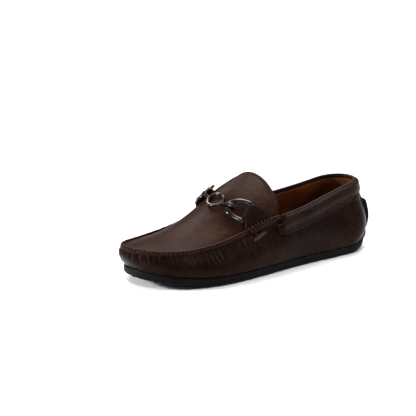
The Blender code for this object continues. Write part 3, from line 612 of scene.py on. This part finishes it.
def rubber_material(name, base, light):
    """Moulded rubber with a fine matt texture and a little dust."""
    made = Finish(name)
    broad = made.noise(60.0, 5.0, Roughness=0.6)
    return made.shade(made.ramp(broad, [(0.35, base), (0.7, light)]), made.weighted(broad, 0.2, 0.4),
                      0.05, made.bump(made.noise(3000.0, 3.0), 0.35, 0.00012))


def metal_material(name, base, dark):
    """Dark polished metal with faint handling haze."""
    made = Finish(name)
    haze = made.noise(240.0, 6.0, Roughness=0.65)
    return made.shade(made.ramp(haze, [(0.35, dark), (0.62, base)]), made.weighted(haze, 0.16, 0.08),
                      0.5, made.bump(made.noise(2600.0), 0.08, 0.00006), metallic=1.0)


def fibre_material(name, base, dark, scale=1400.0):
    """Felted or foamed filling."""
    made = Finish(name)
    fibres = made.node("TexVoronoi", Vector=made.at, Scale=scale).outputs["Distance"]
    return made.shade(made.ramp(made.noise(120.0, 4.0), [(0.3, dark), (0.7, base)]), 0.9, 0.5,
                      made.bump(fibres, 0.7, 0.0003))


# Wall and apron are one leather: the wall's darker base colour is painted shade of its sideways faces.
WALL_LEATHER_PAINTED_SHADE = leather(
    "wall_leather_painted_shade", (0.0102, 0.0043, 0.0031), (0.016, 0.007, 0.005), (0.0062, 0.0026, 0.0019), 0.25,
    0.038, wear=(0.032, 0.016, 0.012), wrinkle=0.3)
# The apron's lighter base colour is painted light on its upward faces, over the same leather as the wall.
APRON_LEATHER_PAINTED_LIGHT = leather(
    "apron_leather", (0.022, 0.0078, 0.0042), (0.0345, 0.0134, 0.0078), (0.014, 0.0049, 0.0027), 0.3,
    0.03, cell=0.0007, wrinkle=0.6)
BAND_LEATHER = leather(
    "band_leather", (0.0138, 0.0058, 0.0042), (0.0205, 0.0093, 0.007), (0.008, 0.004, 0.0032), 0.26,
    0.05, crease=0.5, wrinkle=0.35)
STRAP_LEATHER = leather(
    "strap_leather", (0.0098, 0.004, 0.0028), (0.015, 0.0066, 0.0047), (0.0062, 0.0026, 0.0018), 0.3,
    0.032, cell=0.0007)
LACE_LEATHER = leather(
    "lace_leather", (0.015, 0.0068, 0.005), (0.03, 0.0145, 0.0108), (0.007, 0.0032, 0.0024), 0.3, 0.06,
    cell=0.0006)
# Leather of the lace ends below the plaits: its light colour is a painted highlight on the bulge there.
TAB_LEATHER_PAINTED_HIGHLIGHT = leather(
    "tab_leather_painted_highlight", (0.038, 0.0195, 0.0145), (0.06, 0.033, 0.025), (0.022, 0.011, 0.008), 0.38, 0.06,
    cell=0.0006)
BINDING_LEATHER = leather(
    "binding_leather", (0.0095, 0.0045, 0.0034), (0.016, 0.0078, 0.006), (0.006, 0.0028, 0.0022), 0.38,
    0.08, cell=0.0005)
LINING_LEATHER = leather(
    "lining_leather", (0.08, 0.0215, 0.0054), (0.115, 0.034, 0.0092), (0.052, 0.0132, 0.0032), 0.6,
    0.06, cell=0.0009)
RAW_EDGE = raw_edge("raw_edge", (0.052, 0.0165, 0.0108), (0.018, 0.0058, 0.004))
THREAD = thread_material("thread", (0.012, 0.007, 0.006), (0.04, 0.023, 0.018))
RUBBER = rubber_material("rubber", (0.0022, 0.0022, 0.0024), (0.005, 0.005, 0.0052))
METAL = metal_material("gunmetal", (0.05, 0.042, 0.037), (0.016, 0.014, 0.013))
FELT = fibre_material("stiffener", (0.22, 0.19, 0.16), (0.14, 0.12, 0.1))
BOARD = fibre_material("board", (0.3, 0.21, 0.13), (0.2, 0.14, 0.085))
FOAM = fibre_material("foam", (0.55, 0.52, 0.46), (0.42, 0.39, 0.34), 900.0)


# ---------------- pieces of the upper

def pucker(phi, v):
    """Gathers below the seam: strong round the toe, gone by the middle of the foot."""
    t = top_t(phi)
    run = np.interp(phi, GATHER_PHI, GATHER_RUN)
    strength = smooth_step(t, 0.172, 0.235)
    wave = run / 0.0052 + 0.55 * np.sin(run / 0.011) + 0.35 * np.sin(run / 0.0047 + 1.3)
    lobe = np.abs(np.cos(np.pi * wave)) ** 0.55
    index = np.floor(wave + 0.5).astype(int)
    share = GATHER_SIZE[np.mod(index, len(GATHER_SIZE))]
    reach = 0.5 + 0.22 * share
    fade = smooth_step(v, reach - 0.28, reach + 0.28) * (1 - 0.55 * smooth_step(v, 0.93, 1.0))
    low = 0.25 * np.sin(2 * np.pi * wave * 0.5 + 2.0 * v)
    return 0.0021 * strength * fade * (share * (lobe - 0.62) + 0.25 * low * (1 - lobe))


def soft_dents(phi, v):
    """Slow unevenness of soft leather along the sides."""
    t = top_t(phi)
    s = np.where(np.sin(phi) >= 0, 0.0, 2.1)
    wave = (np.sin(t / 0.017 + 3.1 * v + s) + 0.7 * np.sin(t / 0.0098 - 4.3 * v + 1.7 * s)
            + 0.5 * np.sin(t / 0.026 + 7.0 * v + s))
    flex = np.exp(-((t - 0.168) / 0.02) ** 2) * smooth_step(v, 0.3, 0.62)
    creases = (np.sin(t / 0.00125 + 2.4 * v + s) + 0.8 * np.sin(t / 0.00083 - 1.9 * v + 2 * s)
               + 0.6 * np.sin(t / 0.0031 + 2.2 * s))
    return ((0.0003 * wave + 0.00016 * flex * creases)
            * smooth_step(v, 0.02, 0.25) * (1 - smooth_step(v, 0.88, 1.0)))


MIDDLE_X, MIDDLE_T = settle_origin()
GATHER_PHI = np.linspace(-math.pi, 2 * math.pi, 6000)
GATHER_RUN = run_along(top_line(GATHER_PHI))
GATHER_SIZE = RNG.uniform(0.45, 1.25, 211)


def seam_edge(phi, lift, out):
    up, across = ridge_frame(phi)
    return top_line(phi) + lift * up + out * across


def build_vamp():
    phi = np.linspace(-math.pi, math.pi, 961)[:-1]
    v = stretches((0, 0.5, 18), (0.5, 1, 30))
    P, V = np.meshgrid(phi, v, indexing="ij")
    skin = above_wall(P, V, pucker(P, V) + soft_dents(P, V))
    share = seam_share(phi)[:, None]
    base = skin[:, -1]
    strip = []
    for s in (0.35, 0.7, 1.0):
        seam = seam_edge(phi, -RIDGE_HEIGHT + s * (RIDGE_HEIGHT - 0.0013), RIDGE_HALF + 0.0002)
        rim = base + s * 0.0018 * UP
        strip.append((rim + share * (seam - rim))[:, None])
    under = feather(phi) - FLANGE * outward(phi)
    under[:, 2] = sole_bottom(MIDDLE_T - under[:, 1]) + SOLE_HEIGHT
    lip = feather(phi) - 0.0012 * outward(phi)
    grid = np.concatenate([under[:, None], lip[:, None], skin] + strip, axis=1)
    # The wall leather's darker base colour is painted shade.
    obj = sheet("vamp_leather", grid, UPPER_THICK, [WALL_LEATHER_PAINTED_SHADE, RAW_EDGE], wrap=True)
    fit(obj, "vamp")


def tongue_arc(inset, forward, count):
    """The tongue's edge with many samples, closer together near its two ends."""
    a = np.sin(np.linspace(1, -1, count) * math.pi / 2) * 0.8 + 0.2 * np.linspace(1, -1, count)
    corner = angle_at(CORNER_T + 0.005)
    lateral, _ = plan_of(apron_base(corner, inset))
    medial, _ = plan_of(apron_base(-corner, inset))
    x = (lateral + medial) / 2 + a * (lateral - medial) / 2
    return x, CORNER_T + forward - TONGUE_LEAN * np.cos(a * math.pi / 2)


def fine_plan(inset, forward, rows=90, columns=80):
    """Grid of (side, heel distance) that covers the apron, from the tongue to the toe."""
    turn = math.pi - TOE_CORNER_STEPS * STEP_ANGLE
    sides = np.linspace(angle_at(CORNER_T + forward), turn, rows)
    toe = np.linspace(turn, 2 * math.pi - turn, columns)
    edge = np.stack(tongue_arc(inset, forward, columns), -1)
    arc, lateral, medial = (np.stack(plan_of(apron_base(phi, inset)), -1)
                            for phi in (toe, sides, -sides))
    blend = smooth_step(np.linspace(0, 1, rows), 0.0, 0.1)[:, None]
    lateral = lateral + (1 - blend) * (edge[0] - lateral[0])
    medial = medial + (1 - blend) * (edge[-1] - medial[0])
    i = np.linspace(0, 1, rows)[:, None, None]
    j = np.linspace(0, 1, columns)[None, :, None]
    grid = ((1 - i) * edge[None] + i * arc[None] + (1 - j) * lateral[:, None] + j * medial[:, None]
            - ((1 - i) * (1 - j) * edge[0] + (1 - i) * j * edge[-1]
               + i * (1 - j) * arc[0] + i * j * arc[-1]))
    return grid[..., 0], grid[..., 1], sides, toe


def build_apron():
    x, t, sides, toe = fine_plan(0.0, 0.0026)
    lateral, medial, _ = apron_limits(t)
    edge_gap = np.minimum(lateral - x, x - medial)
    front = np.clip((TOP_FRONT - t) / 0.05, 0, 1)
    dents = (0.00018 * np.sin(t / 0.0125 + x / 0.021) + 0.00016 * np.sin(t / 0.0081 - x / 0.013 + 1.0)
             + 0.00012 * np.sin(t / 0.0222 - x / 0.0074))
    skin = above_apron(x, t, dents * smooth_step(edge_gap, 0.002, 0.012) * front)

    def turned_up(phi, edge, share):
        """Row of points a share of the way up the standing seam, a little uneven."""
        wave = 0.00012 * np.sin(np.interp(phi, GATHER_PHI, GATHER_RUN) / 0.0014)
        return (edge + share * (seam_edge(phi, 0.0009, -RIDGE_HALF) - edge)
                + (share * wave)[:, None] * UP)

    rows, columns = skin.shape[:2]
    shares = (0.5, 1.0)
    k = len(shares)
    grid = np.zeros((rows + k, columns + 2 * k, 3))
    grid[:rows, k:-k] = skin
    for i, share in enumerate(shares):
        grid[:rows, k - 1 - i] = turned_up(sides, skin[:, 0], share)
        grid[:rows, columns + k + i] = turned_up(-sides, skin[:, -1], share)
        grid[rows + i, k:-k] = turned_up(toe, skin[-1], share)
    for i in range(k):
        for j in range(k):
            left, right = k - 1 - j, columns + k + j
            grid[rows + i, left] = grid[rows - 1, left] if j > i else grid[rows + i, k]
            grid[rows + i, right] = grid[rows - 1, right] if j > i else grid[rows + i, -k - 1]
    # The apron leather's lighter base colour is painted light.
    fit(sheet("apron_leather", grid, UPPER_THICK, [APRON_LEATHER_PAINTED_LIGHT, RAW_EDGE]), "apron")


def build_seam_stitches():
    """Hand stitches in the step between the apron's raw edge and the wall's."""
    start = angle_at(LACING_T[1] + 0.002)
    meshes = []
    for phi in even_angles(start, 2 * math.pi - start, 0.0043):
        up, across = ridge_frame(phi)
        along = unit(np.cross(up, across))
        lean = unit(along + 0.3 * up)
        centre = top_line(phi) - 0.0003 * up + 0.00075 * across
        meshes.append(pill(centre, lean, unit(np.cross(across, lean)), across, 0.003, 0.00105, 0.0009))
        bite = top_line(phi) + 0.0004 * up - 0.0002 * across
        meshes.append(pill(bite + 0.0013 * along, unit(across - 0.5 * up), along, up,
                           0.003, 0.0007, 0.0006, rings=5, count=6))
    fit(merged("seam_stitches", meshes, THREAD), "apron_stitching")


def band_height_limits(t):
    top = spline(TOP_HEIGHT, t)
    front = np.clip((t - BAND_FRONT_T + 0.008) / 0.008, 0, 1)
    low = top - BAND_HEIGHT + 0.006 * (1 - np.sqrt(1 - 0.99 * front ** 2))
    return low, top - 0.0012 - 0.0062 * smooth_step(t, CORNER_T - 0.006, CORNER_T + 0.003)


def build_collar_band():
    front = angle_at(BAND_FRONT_T)
    phi = np.linspace(-front, front, 420)
    t = top_t(phi)
    low, high = band_height_limits(t)
    s = stretches((0, 0.2, 7), (0.2, 0.34, 9), (0.34, 1, 22))
    v = np.linspace(0, 1, 81)
    P, V = np.meshgrid(phi, v, indexing="ij")
    heights = wall(P, V)[..., 2]
    rows = np.array([np.interp(low[i] + s * (high[i] - low[i]), heights[i], v) for i in range(len(phi))])
    ends = smooth_step(BAND_FRONT_T - t, 0.0, 0.007)[:, None]
    crease = -0.0011 * np.exp(-((s - 0.245) / 0.022) ** 2)
    roll = np.where(s > 0.25, np.sin(np.clip((s - 0.25) / 0.75, 0, 1) * math.pi) ** 0.62, 0) * 0.0019
    fold = 0.00022 * (np.sin(t / 0.0063) + np.sin(t / 0.0101 + 1.0))[:, None] * np.where(s > 0.3, 1, 0)
    taper = -0.0012 * (np.maximum(s - 0.88, 0) / 0.12) ** 1.5
    out = (0.0013 + crease + taper)[None, :] + ends * (roll[None, :] + fold)
    past = np.maximum(low[:, None] + s[None, :] * (high - low)[:, None] - heights[:, -1:], 0)
    grid = above_wall(np.repeat(phi[:, None], len(s), 1), rows, out)
    grid[..., 2] += past
    obj = sheet("padded_collar", grid, TRIM_THICK, [BAND_LEATHER, RAW_EDGE])
    fit(obj, "collar_band")
    meshes = []
    angles = even_angles(-front + 0.03, front - 0.03, 0.0027)
    t = top_t(angles)
    low, high = band_height_limits(t)
    z = low + 0.215 * (high - low)
    for p, h in zip(angles, z):
        profile = wall(np.full(81, p), v)
        share = np.interp(h, profile[:, 2], v)
        n = wall_normal(p, share)
        along = unit(wall(p + 0.01, share) - wall(p - 0.01, share))
        meshes.append(pill(wall(p, share) + 0.00125 * n, along, np.cross(n, along), n,
                           0.0019, 0.00048, 0.00042, rings=5, count=6))
    fit(merged("collar_stitches", meshes, THREAD))


def build_bindings():
    count = 360
    front = angle_at(BINDING_FRONT_T + 0.0035)
    phi = np.linspace(-front, front, count)
    order = np.arange(count)
    fade = np.clip(np.minimum(order, order[::-1]) / 4, 0.35, 1)
    centre = top_line(phi) - BINDING_RADIUS * outward(phi) - 0.0016 * UP
    tape = tube(centre, UP, oval_profile(0.0036, 0.0033, 2.3, 18), taper=fade)
    fit(merged("topline_tape", [tape], BINDING_LEATHER), "topline_binding")
    meshes = []
    for out, drop in ((0.00005, 0.0026), (-0.0035, 0.0024)):
        line = top_line(phi) + out * outward(phi) - drop * UP
        meshes.append(tube(line, UP, oval_profile(0.0007, 0.0007, 2, 8)))
    fit(merged("topline_piping", meshes, BINDING_LEATHER))
    x, t = tongue_arc(0.0014, 0.0018, 140)
    normal = apron_normal(x, t)
    tape = tube(above_apron(x, t, -0.0011), normal, oval_profile(0.003, 0.0027, 2.4, 18))
    fit(merged("tongue_tape", [tape], BINDING_LEATHER), "tongue_binding")
    line = apron_point(x, t + 0.0016) + 0.00005 * normal
    edge = tube(line, normal, oval_profile(0.0008, 0.0006, 2, 8))
    fit(merged("tongue_raw_edge", [edge], RAW_EDGE))


def build_linings():
    for name, node, low, high in (("quarter_skin", "quarter_lining", -13.5, 13.5),
                                  ("vamp_skin", "vamp_lining", 13.5, 50.5)):
        phi = np.linspace(low * STEP_ANGLE, high * STEP_ANGLE, 260)
        P, V = np.meshgrid(phi, np.linspace(0.05, 1.0, 34), indexing="ij")
        grid = above_wall(P, V, 0.0004 * smooth_step(V, 0.9, 1.0) - 0.0027)
        if node == "quarter_lining":
            grid = np.concatenate([grid, grid[:, -1:] + 0.0024 * UP], axis=1)
        fit(sheet(name, grid, LINING_THICK, [LINING_LEATHER]), node)
    x, t, _, _ = fine_plan(0.0016, 0.0036, 60, 50)
    obj = sheet("apron_skin", above_apron(x, t, -0.003), LINING_THICK, [LINING_LEATHER])
    fit(obj, "apron_lining")


def build_sock():
    phi = np.linspace(0.03, math.pi - 0.03, 120)
    s = np.linspace(0, 1, 26)
    lateral = feather(phi) - 0.004 * outward(phi)
    medial = feather(-phi) - 0.004 * outward(-phi)
    grid = lateral[:, None] + s[None, :, None] * (medial - lateral)[:, None]
    t = MIDDLE_T - grid[..., 1]
    slope = (sole_bottom(t + 0.001) - sole_bottom(t - 0.001)) / 0.002
    dish = 0.0016 * (np.abs(2 * s - 1) ** 2.5)[None, :] - 0.0004
    arch = 0.002 * np.exp(-((t - 0.125) / 0.035) ** 2) * np.clip(2 * s - 1, 0, 1)[None, :] ** 2
    grid[..., 2] = sole_bottom(t) + SOLE_HEIGHT + 0.0076 * np.sqrt(1 + slope ** 2) + dish + arch
    fit(sheet("sock_skin", grid, 0.001, [LINING_LEATHER]), "sock_liner")


# ---------------- sole

def sole_side(phi, rim_out):
    p = feather(phi)
    n = outward(phi)
    x, t = plan_of(p)
    foot = place(x, t, sole_bottom(t))
    half = abs(x)
    h = SOLE_HEIGHT
    points = [p - 0.0006 * n - 0.0001 * UP, p + n * (rim_out - 0.0006) - 0.0001 * UP,
              p + n * (rim_out - 0.0001) - 0.0007 * UP]
    for s in (0.8, 0.66, 0.52, 0.38):
        points.append(foot + n * (rim_out + 0.0002 * math.sin(s * math.pi)) + s * h * UP)
    radius = 0.0024
    for a in np.radians([12, 32, 52, 72, 90]):
        out = rim_out - radius + radius * math.cos(a)
        points.append(foot + n * max(out, -half) + (radius - radius * math.sin(a)) * UP)
    inner = min(RIM_WIDTH + 0.0018, half)
    points.append(foot - n * (inner - rim_out - 0.0004))
    points.append(foot - n * (inner - rim_out) + 0.0003 * UP)
    points.append(foot - n * min(inner - rim_out + 0.0004, half) + TREAD_DEPTH * UP)
    return points


def heel_bump(phi):
    return 1 - smooth_step(np.abs(phi), 0.15, 0.36)


def build_outsole():
    first = 0.022
    rows = []
    for a in stretches((first, 0.5, 26), (0.5, 2.64, 90), (2.64, math.pi - first, 26)):
        out = 0.001 + 0.0053 * heel_bump(a)
        rows.append(sole_side(a, out) + sole_side(-a, out)[::-1])
    k = len(rows[0])
    points = [p for row in rows for p in row]
    faces = ring_faces(len(rows), k)
    last = (len(rows) - 1) * k
    for c in range(k // 2 - 1):
        faces.append((c, c + 1, k - 2 - c, k - 1 - c))
        faces.append((last + c, last + k - 1 - c, last + k - 2 - c, last + c + 1))
    fit(merged("rubber_sole", [(points, faces)], RUBBER), "outsole")
    meshes = []
    for x, t, wide, long in tread_places():
        count = 36 if wide > 0.004 else 18
        a = 2 * np.pi * np.arange(count) / count
        rings = []
        for size, lift in ((1.12, TREAD_DEPTH + 0.0002), (1.0, 0.0011), (0.97, 0.0003), (0.9, 0.0)):
            q = place(x + wide * size * np.cos(a), t + long * size * np.sin(a), 0)
            q[:, 2] = sole_bottom(t + long * size * np.sin(a)) + lift
            rings.append(q)
        faces = ring_faces(len(rings), count)
        faces += [tuple(range(count)), tuple(range((len(rings) - 1) * count, len(rings) * count))]
        meshes.append((np.concatenate(rings), faces))
    fit(merged("tread_pebbles", meshes, RUBBER))


def inside_tread(x, t, margin):
    phi = math.acos(1 - 2 * (t - FEATHER_BACK) / (FEATHER_FRONT - FEATHER_BACK))
    lateral, _ = plan_of(feather(phi))
    medial, _ = plan_of(feather(-phi))
    return medial + margin < x < lateral - margin


def tread_places():
    places = [(0.0035, 0.105, 0.0115, 0.021)]
    rows = int((0.238 - 0.03) / (PEBBLE_PITCH * 0.92))
    for row in range(rows + 1):
        t = 0.03 + row * PEBBLE_PITCH * 0.92
        for i in range(-5, 6):
            x = (i + 0.5 * (row % 2)) * PEBBLE_PITCH
            if abs(t - 0.105) >= 0.026 and inside_tread(x, t, RIM_WIDTH + 0.008):
                places.append((x, t, PEBBLE_RADIUS, PEBBLE_RADIUS))
    return places


def build_heel_pieces():
    """Rubber guard with soft edges, the leather tab above it, and the thread beside it."""
    half = 0.212
    across, share = np.linspace(-1, 1, 49), np.linspace(0, 1, 56)
    phi = half * across[:, None] * (1 - 0.1 * share[None, :])
    foot = feather(half * across)[:, 2:3] - 0.0004
    z = foot + share * (GUARD_TOP + 0.0008 - foot)
    rows = wall_share(phi, z)
    side = np.clip((1 - np.abs(across[:, None])) / 0.2, 0, 1)
    top = np.clip((GUARD_TOP + 0.0008 - z) / 0.005, 0, 1)
    full = np.sqrt(1 - (1 - side) ** 2.2) * np.sqrt(1 - (1 - top) ** 2.2)
    ridge = 0.00025 * np.cos(share * 34)[None, :] * smooth_step(share, 0.1, 0.3)[None, :]
    depth = 0.0003 + full * (GUARD_THICK - 0.0002 + ridge * (1 - np.abs(across[:, None]) ** 4))
    grid = above_wall(phi, rows, depth)
    grid[:, 0, 2] = np.minimum(grid[:, 0, 2], foot[:, 0] - 0.0004)
    fit(sheet("rubber_guard", grid, 0.0009, [RUBBER]), "heel_guard")
    phi = np.repeat(np.linspace(-0.235, 0.235, 31)[:, None], 14, 1)
    z = np.linspace(GUARD_TOP - 0.002, spline(TOP_HEIGHT, TOP_BACK) - BAND_HEIGHT + 0.0015, 14)
    rows = wall_share(phi, np.repeat(z[None, :], 31, 0))
    obj = sheet("heel_tab", above_wall(phi, rows, 0.0013), TRIM_THICK, [WALL_LEATHER_PAINTED_SHADE, RAW_EDGE])
    fit(obj, "back_tab")
    for side, name, node in ((1, "heel_thread_outer", "heel_stitching_lateral"),
                             (-1, "heel_thread_inner", "heel_stitching_medial")):
        meshes = []
        for h in np.arange(0.0245, 0.05, 0.0031):
            p = side * (0.268 - 0.02 * (h - 0.0155) / 0.035)
            v = wall_share(p, h)
            n = wall_normal(p, v)
            rise = unit(wall(p, v + 0.01) - wall(p, v - 0.01))
            meshes.append(pill(wall(p, v) + 0.0002 * n, rise, np.cross(rise, n), n,
                               0.0022, 0.0008, 0.0008, rings=5))
        fit(merged(name, meshes, THREAD), node)


# ---------------- lacing and straps

def build_side_lacing(side, word):
    meshes = []
    count = 8
    for i in range(count):
        t = LACING_T[0] - 0.0005 + (i + 0.5) / count * (LACING_T[1] - LACING_T[0] + 0.0015)
        phi = side * angle_at(t)
        up, across = ridge_frame(phi)
        along = unit(np.cross(up, across)) * side
        for row in (-1, 1):
            lean = unit(across + 0.75 * row * along)
            tilt = unit(up + 0.25 * row * across)
            square = unit(np.cross(tilt, lean))
            centre = (top_line(phi) + 0.0013 * up + (0.0009 + row * 0.0017) * across
                      + row * 0.0008 * along)
            meshes.append(pill(centre, unit(np.cross(square, tilt)), square, tilt,
                               0.0049, 0.0027, 0.0026, rings=9, count=10, power=2.2))
    fit(merged("plait_" + word, meshes, LACE_LEATHER), "side_lacing_" + word)
    share, s = np.linspace(0, 1, 30)[:, None], np.linspace(-1, 1, 8)[None, :]
    phi = np.repeat(side * angle_at(np.linspace(0.1535, 0.169, 30))[:, None], 8, 1)
    width = 0.05 * (1 - 0.35 * np.abs(2 * share - 1) ** 4) * (0.75 + 0.25 * share)
    rows = 0.875 - 0.055 * share + s * width
    lift = 0.0013 + 0.0007 * (1 - s * s) + 0.001 * (1 - share)
    grid = above_wall(phi, rows, lift)[::side]
    # Lace end below the plait; its lighter colour is a painted highlight.
    fit(sheet("lace_end_" + word, grid, TRIM_THICK, [TAB_LEATHER_PAINTED_HIGHLIGHT]), "lace_tab_" + word)


def ring_frame(side):
    inward = np.array([-side * math.cos(BOW_PLAN_ANGLE), math.sin(BOW_PLAN_ANGLE)])
    x, t = BAR_X[side], BAR_T
    bar = above_apron(x, t, BAR_LIFT)
    x, t = np.array([x, t]) + 0.0165 * inward
    bow = above_apron(x, t, BOW_LIFT)
    e1 = unit(bow - bar)
    normal = unit(apron_normal(BAR_X[side], BAR_T) + apron_normal(x, t))
    e2 = unit(np.cross(normal, e1))
    return bar, e1, e2, np.cross(e1, e2)


def build_strap(side, word):
    bar, e1, e2, normal = ring_frame(side)
    across = np.linspace(-STRAP_HALF, STRAP_HALF, 24)
    radius = BAR_RADIUS + 1.6 * GAP + STRAP_THICK / 2
    seam_t = np.linspace(STRAP_SEAM_T[0] - 0.001, STRAP_SEAM_T[1] + 0.0005, len(across))
    if np.dot(e2, [0, 1, 0]) > 0:
        seam_t = seam_t[::-1]
    seam_x, seam_t = plan_of(apron_base(side * angle_at(seam_t), 0.0004))

    def leaf(level, seam_lift):
        line = bar + across[:, None] * e2 + level * radius * normal
        x, t, lift = foot_of(line)
        rows = []
        for s in np.linspace(0.06, 1.0, 16):
            lifts = lift + smooth_step(s, 0.1, 1.0) * (seam_lift - lift)
            rows.append(above_apron(x + s * (seam_x - x), t + s * (seam_t - t), lifts))
        return rows

    lower = leaf(-1, GAP + STRAP_THICK / 2)
    upper = leaf(1, 2 * GAP + 1.5 * STRAP_THICK)
    fold = [bar + across[:, None] * e2 + radius * (math.cos(a) * e1 + math.sin(a) * normal)
            for a in np.linspace(-math.pi / 2, math.pi / 2, 15)]
    grid = np.array(lower[::-1] + fold + upper)
    obj = sheet("strap_fold_" + word, grid, STRAP_THICK, [STRAP_LEATHER, RAW_EDGE], offset=0)
    fit(obj, "strap_" + word)


# ---------------- metal

def build_ring(side, word):
    bar, e1, e2, normal = ring_frame(side)
    run, bend = 0.003, 0.002
    bar_end = BOW_HALF_WIDTH - bend
    corner = [(run * 0.6 * a ** 2, bar_end + bend * math.sin(a * math.pi / 2), a)
              for a in np.linspace(0, 1, 6)[1:-1]]
    outline = [(0.0, y, 0.0) for y in np.linspace(-bar_end, bar_end, 9)] + corner
    for a in np.linspace(math.pi / 2, -math.pi / 2, 61):
        bow = max(math.cos(a), 0.0) ** 0.8
        outline.append((run * 0.8 + (BOW_LENGTH - run * 0.8) * bow, BOW_HALF_WIDTH * math.sin(a), 1.0))
    outline += [(u, -v, a) for u, v, a in corner[::-1]]
    path = np.array([bar + u * e1 + v * e2 for u, v, _ in outline])
    sides, ups = frames_along(path, normal, closed=True)
    rod = np.array(oval_profile(2 * BAR_RADIUS, 2 * BAR_RADIUS, 2.0, 20))
    bow = np.array(oval_profile(BOW_BAND + 0.0002, BOW_THICK + 0.0003, 2.1, 20))
    profiles = [rod + share * (bow - rod) for _, _, share in outline]
    obj = merged("d_ring_" + word, [sweep(path, sides, ups, profiles, closed=True)], METAL)
    fit(obj, "ring_" + word, word + "_ring")


def build_link():
    a = 2 * math.pi * np.arange(96) / 96
    x, t = OVAL_LONG * np.cos(a), OVAL_T + OVAL_WIDE * np.sin(a)
    normal = apron_normal(x, t)
    path = above_apron(x, t, OVAL_LIFT)
    meshes = [tube(path, normal, oval_profile(0.0031, 0.0026, 2.3, 18), closed=True)]
    high = BOW_THICK / 2 + 0.0006
    for side in (1, -1):
        bar, e1, e2, up = ring_frame(side)
        bow = bar + BOW_LENGTH * e1
        inner, outer = BOW_BAND / 2 + 0.0004, -(BOW_BAND / 2 + 0.0004 + EYE_PLAY)
        middle, half = bow + e1 * (inner + outer) / 2, (inner - outer + EYE_WALL) / 2
        b = 2 * math.pi * np.arange(48) / 48
        loop = (middle + np.outer(half * squared(np.cos(b), 3.2), e1)
                + np.outer((high + EYE_WALL / 2) * squared(np.sin(b), 3.2), up))
        profile = oval_profile(EYE_WIDTH, EYE_WALL, 3.0, 14)
        meshes.append(tube(loop, unit(loop - middle), profile, closed=True))
        start = bow + e1 * (inner + 0.0006)
        end = path[0] if side > 0 else path[48]
        s = np.linspace(0, 1, 12)[:, None]
        neck = start + s * (end - start)
        swell = 1 - 0.22 * np.sin(np.linspace(0, 1, 12) * math.pi)
        meshes.append(tube(neck, up, oval_profile(0.0034, 0.0025, 2.3, 16), taper=swell))
    fit(merged("oval_link", meshes, METAL), "centre_link", "link")


# ---------------- the whole scene

def carry_over():
    """Materials for the CAD nodes that stay: hidden layers inside the upper."""
    for name, material in (("toe_puff", FELT), ("heel_counter", FELT), ("collar_foam", FOAM),
                           ("insole_board", BOARD), ("footbed_foam", FOAM)):
        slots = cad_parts[name].data.materials
        slots.clear()
        slots.append(material)


def build_stage():
    floor = make_mesh("floor", [(-9, -9, 0), (9, -9, 0), (9, 9, 0), (-9, 9, 0)], [(0, 1, 2, 3)], [])
    floor.location.z = -0.0002
    made = Finish("floor_white")
    tone = made.ramp(made.noise(3.0), [(0.3, (0.93, 0.93, 0.93)), (0.7, (0.95, 0.95, 0.95))])
    floor.data.materials.append(made.shade(tone, 0.9, 0.1))
    world = bpy.data.worlds.new("studio")
    bpy.context.scene.world = world
    world.use_nodes = True
    sky = world.node_tree.nodes["Background"].inputs
    sky[0].default_value = (1, 1, 1, 1)
    sky[1].default_value = 0.16
    for name, at, target, wide, high, power in AREA_LIGHTS:
        light = bpy.data.lights.new(name, "AREA")
        light.shape = "RECTANGLE"
        light.size, light.size_y, light.energy = wide, high, power
        add_turned(light, at, Vector(at) - Vector(target))
    sun = bpy.data.lights.new("rear_key", "SUN")
    sun.energy, sun.angle = 2.35, math.radians(24)
    add_turned(sun, (0, 0, 0), Vector((-0.31, 0.41, 0.86)))


def add_turned(data, at, back):
    """Light or camera at a place, with its back turned to a direction."""
    obj = bpy.data.objects.new(data.name, data)
    obj.location = at
    obj.rotation_euler = Vector(back).to_track_quat("Z", "Y").to_euler()
    bpy.context.scene.collection.objects.link(obj)
    return obj


def add_camera():
    """Camera on the outer toe side, a little above the shoe."""
    azimuth, elevation, distance = math.radians(53.96), math.radians(13.32), 1.318
    right = np.array([math.cos(azimuth), math.sin(azimuth), 0])
    back = np.array([math.sin(azimuth) * math.cos(elevation),
                     -math.cos(azimuth) * math.cos(elevation), math.sin(elevation)])
    up = np.cross(back, right)
    centre = np.array([-MIDDLE_X, MIDDLE_T - 0.1425, 0])
    target = centre - 0.0351 * right + 0.05345 * up
    camera = bpy.data.cameras.new("camera")
    camera.lens, camera.sensor_width, camera.clip_start = 117.4, 36, 0.05
    bpy.context.scene.camera = add_turned(camera, target + distance * back, back)


build_vamp()
build_apron()
build_seam_stitches()
build_collar_band()
build_bindings()
build_linings()
build_sock()
build_outsole()
build_heel_pieces()
for side, word in ((1, "lateral"), (-1, "medial")):
    build_side_lacing(side, word)
    build_strap(side, word)
    build_ring(side, word)
build_link()
carry_over()
add_camera()
build_stage()
bpy.context.scene.view_settings.view_transform = "Standard"
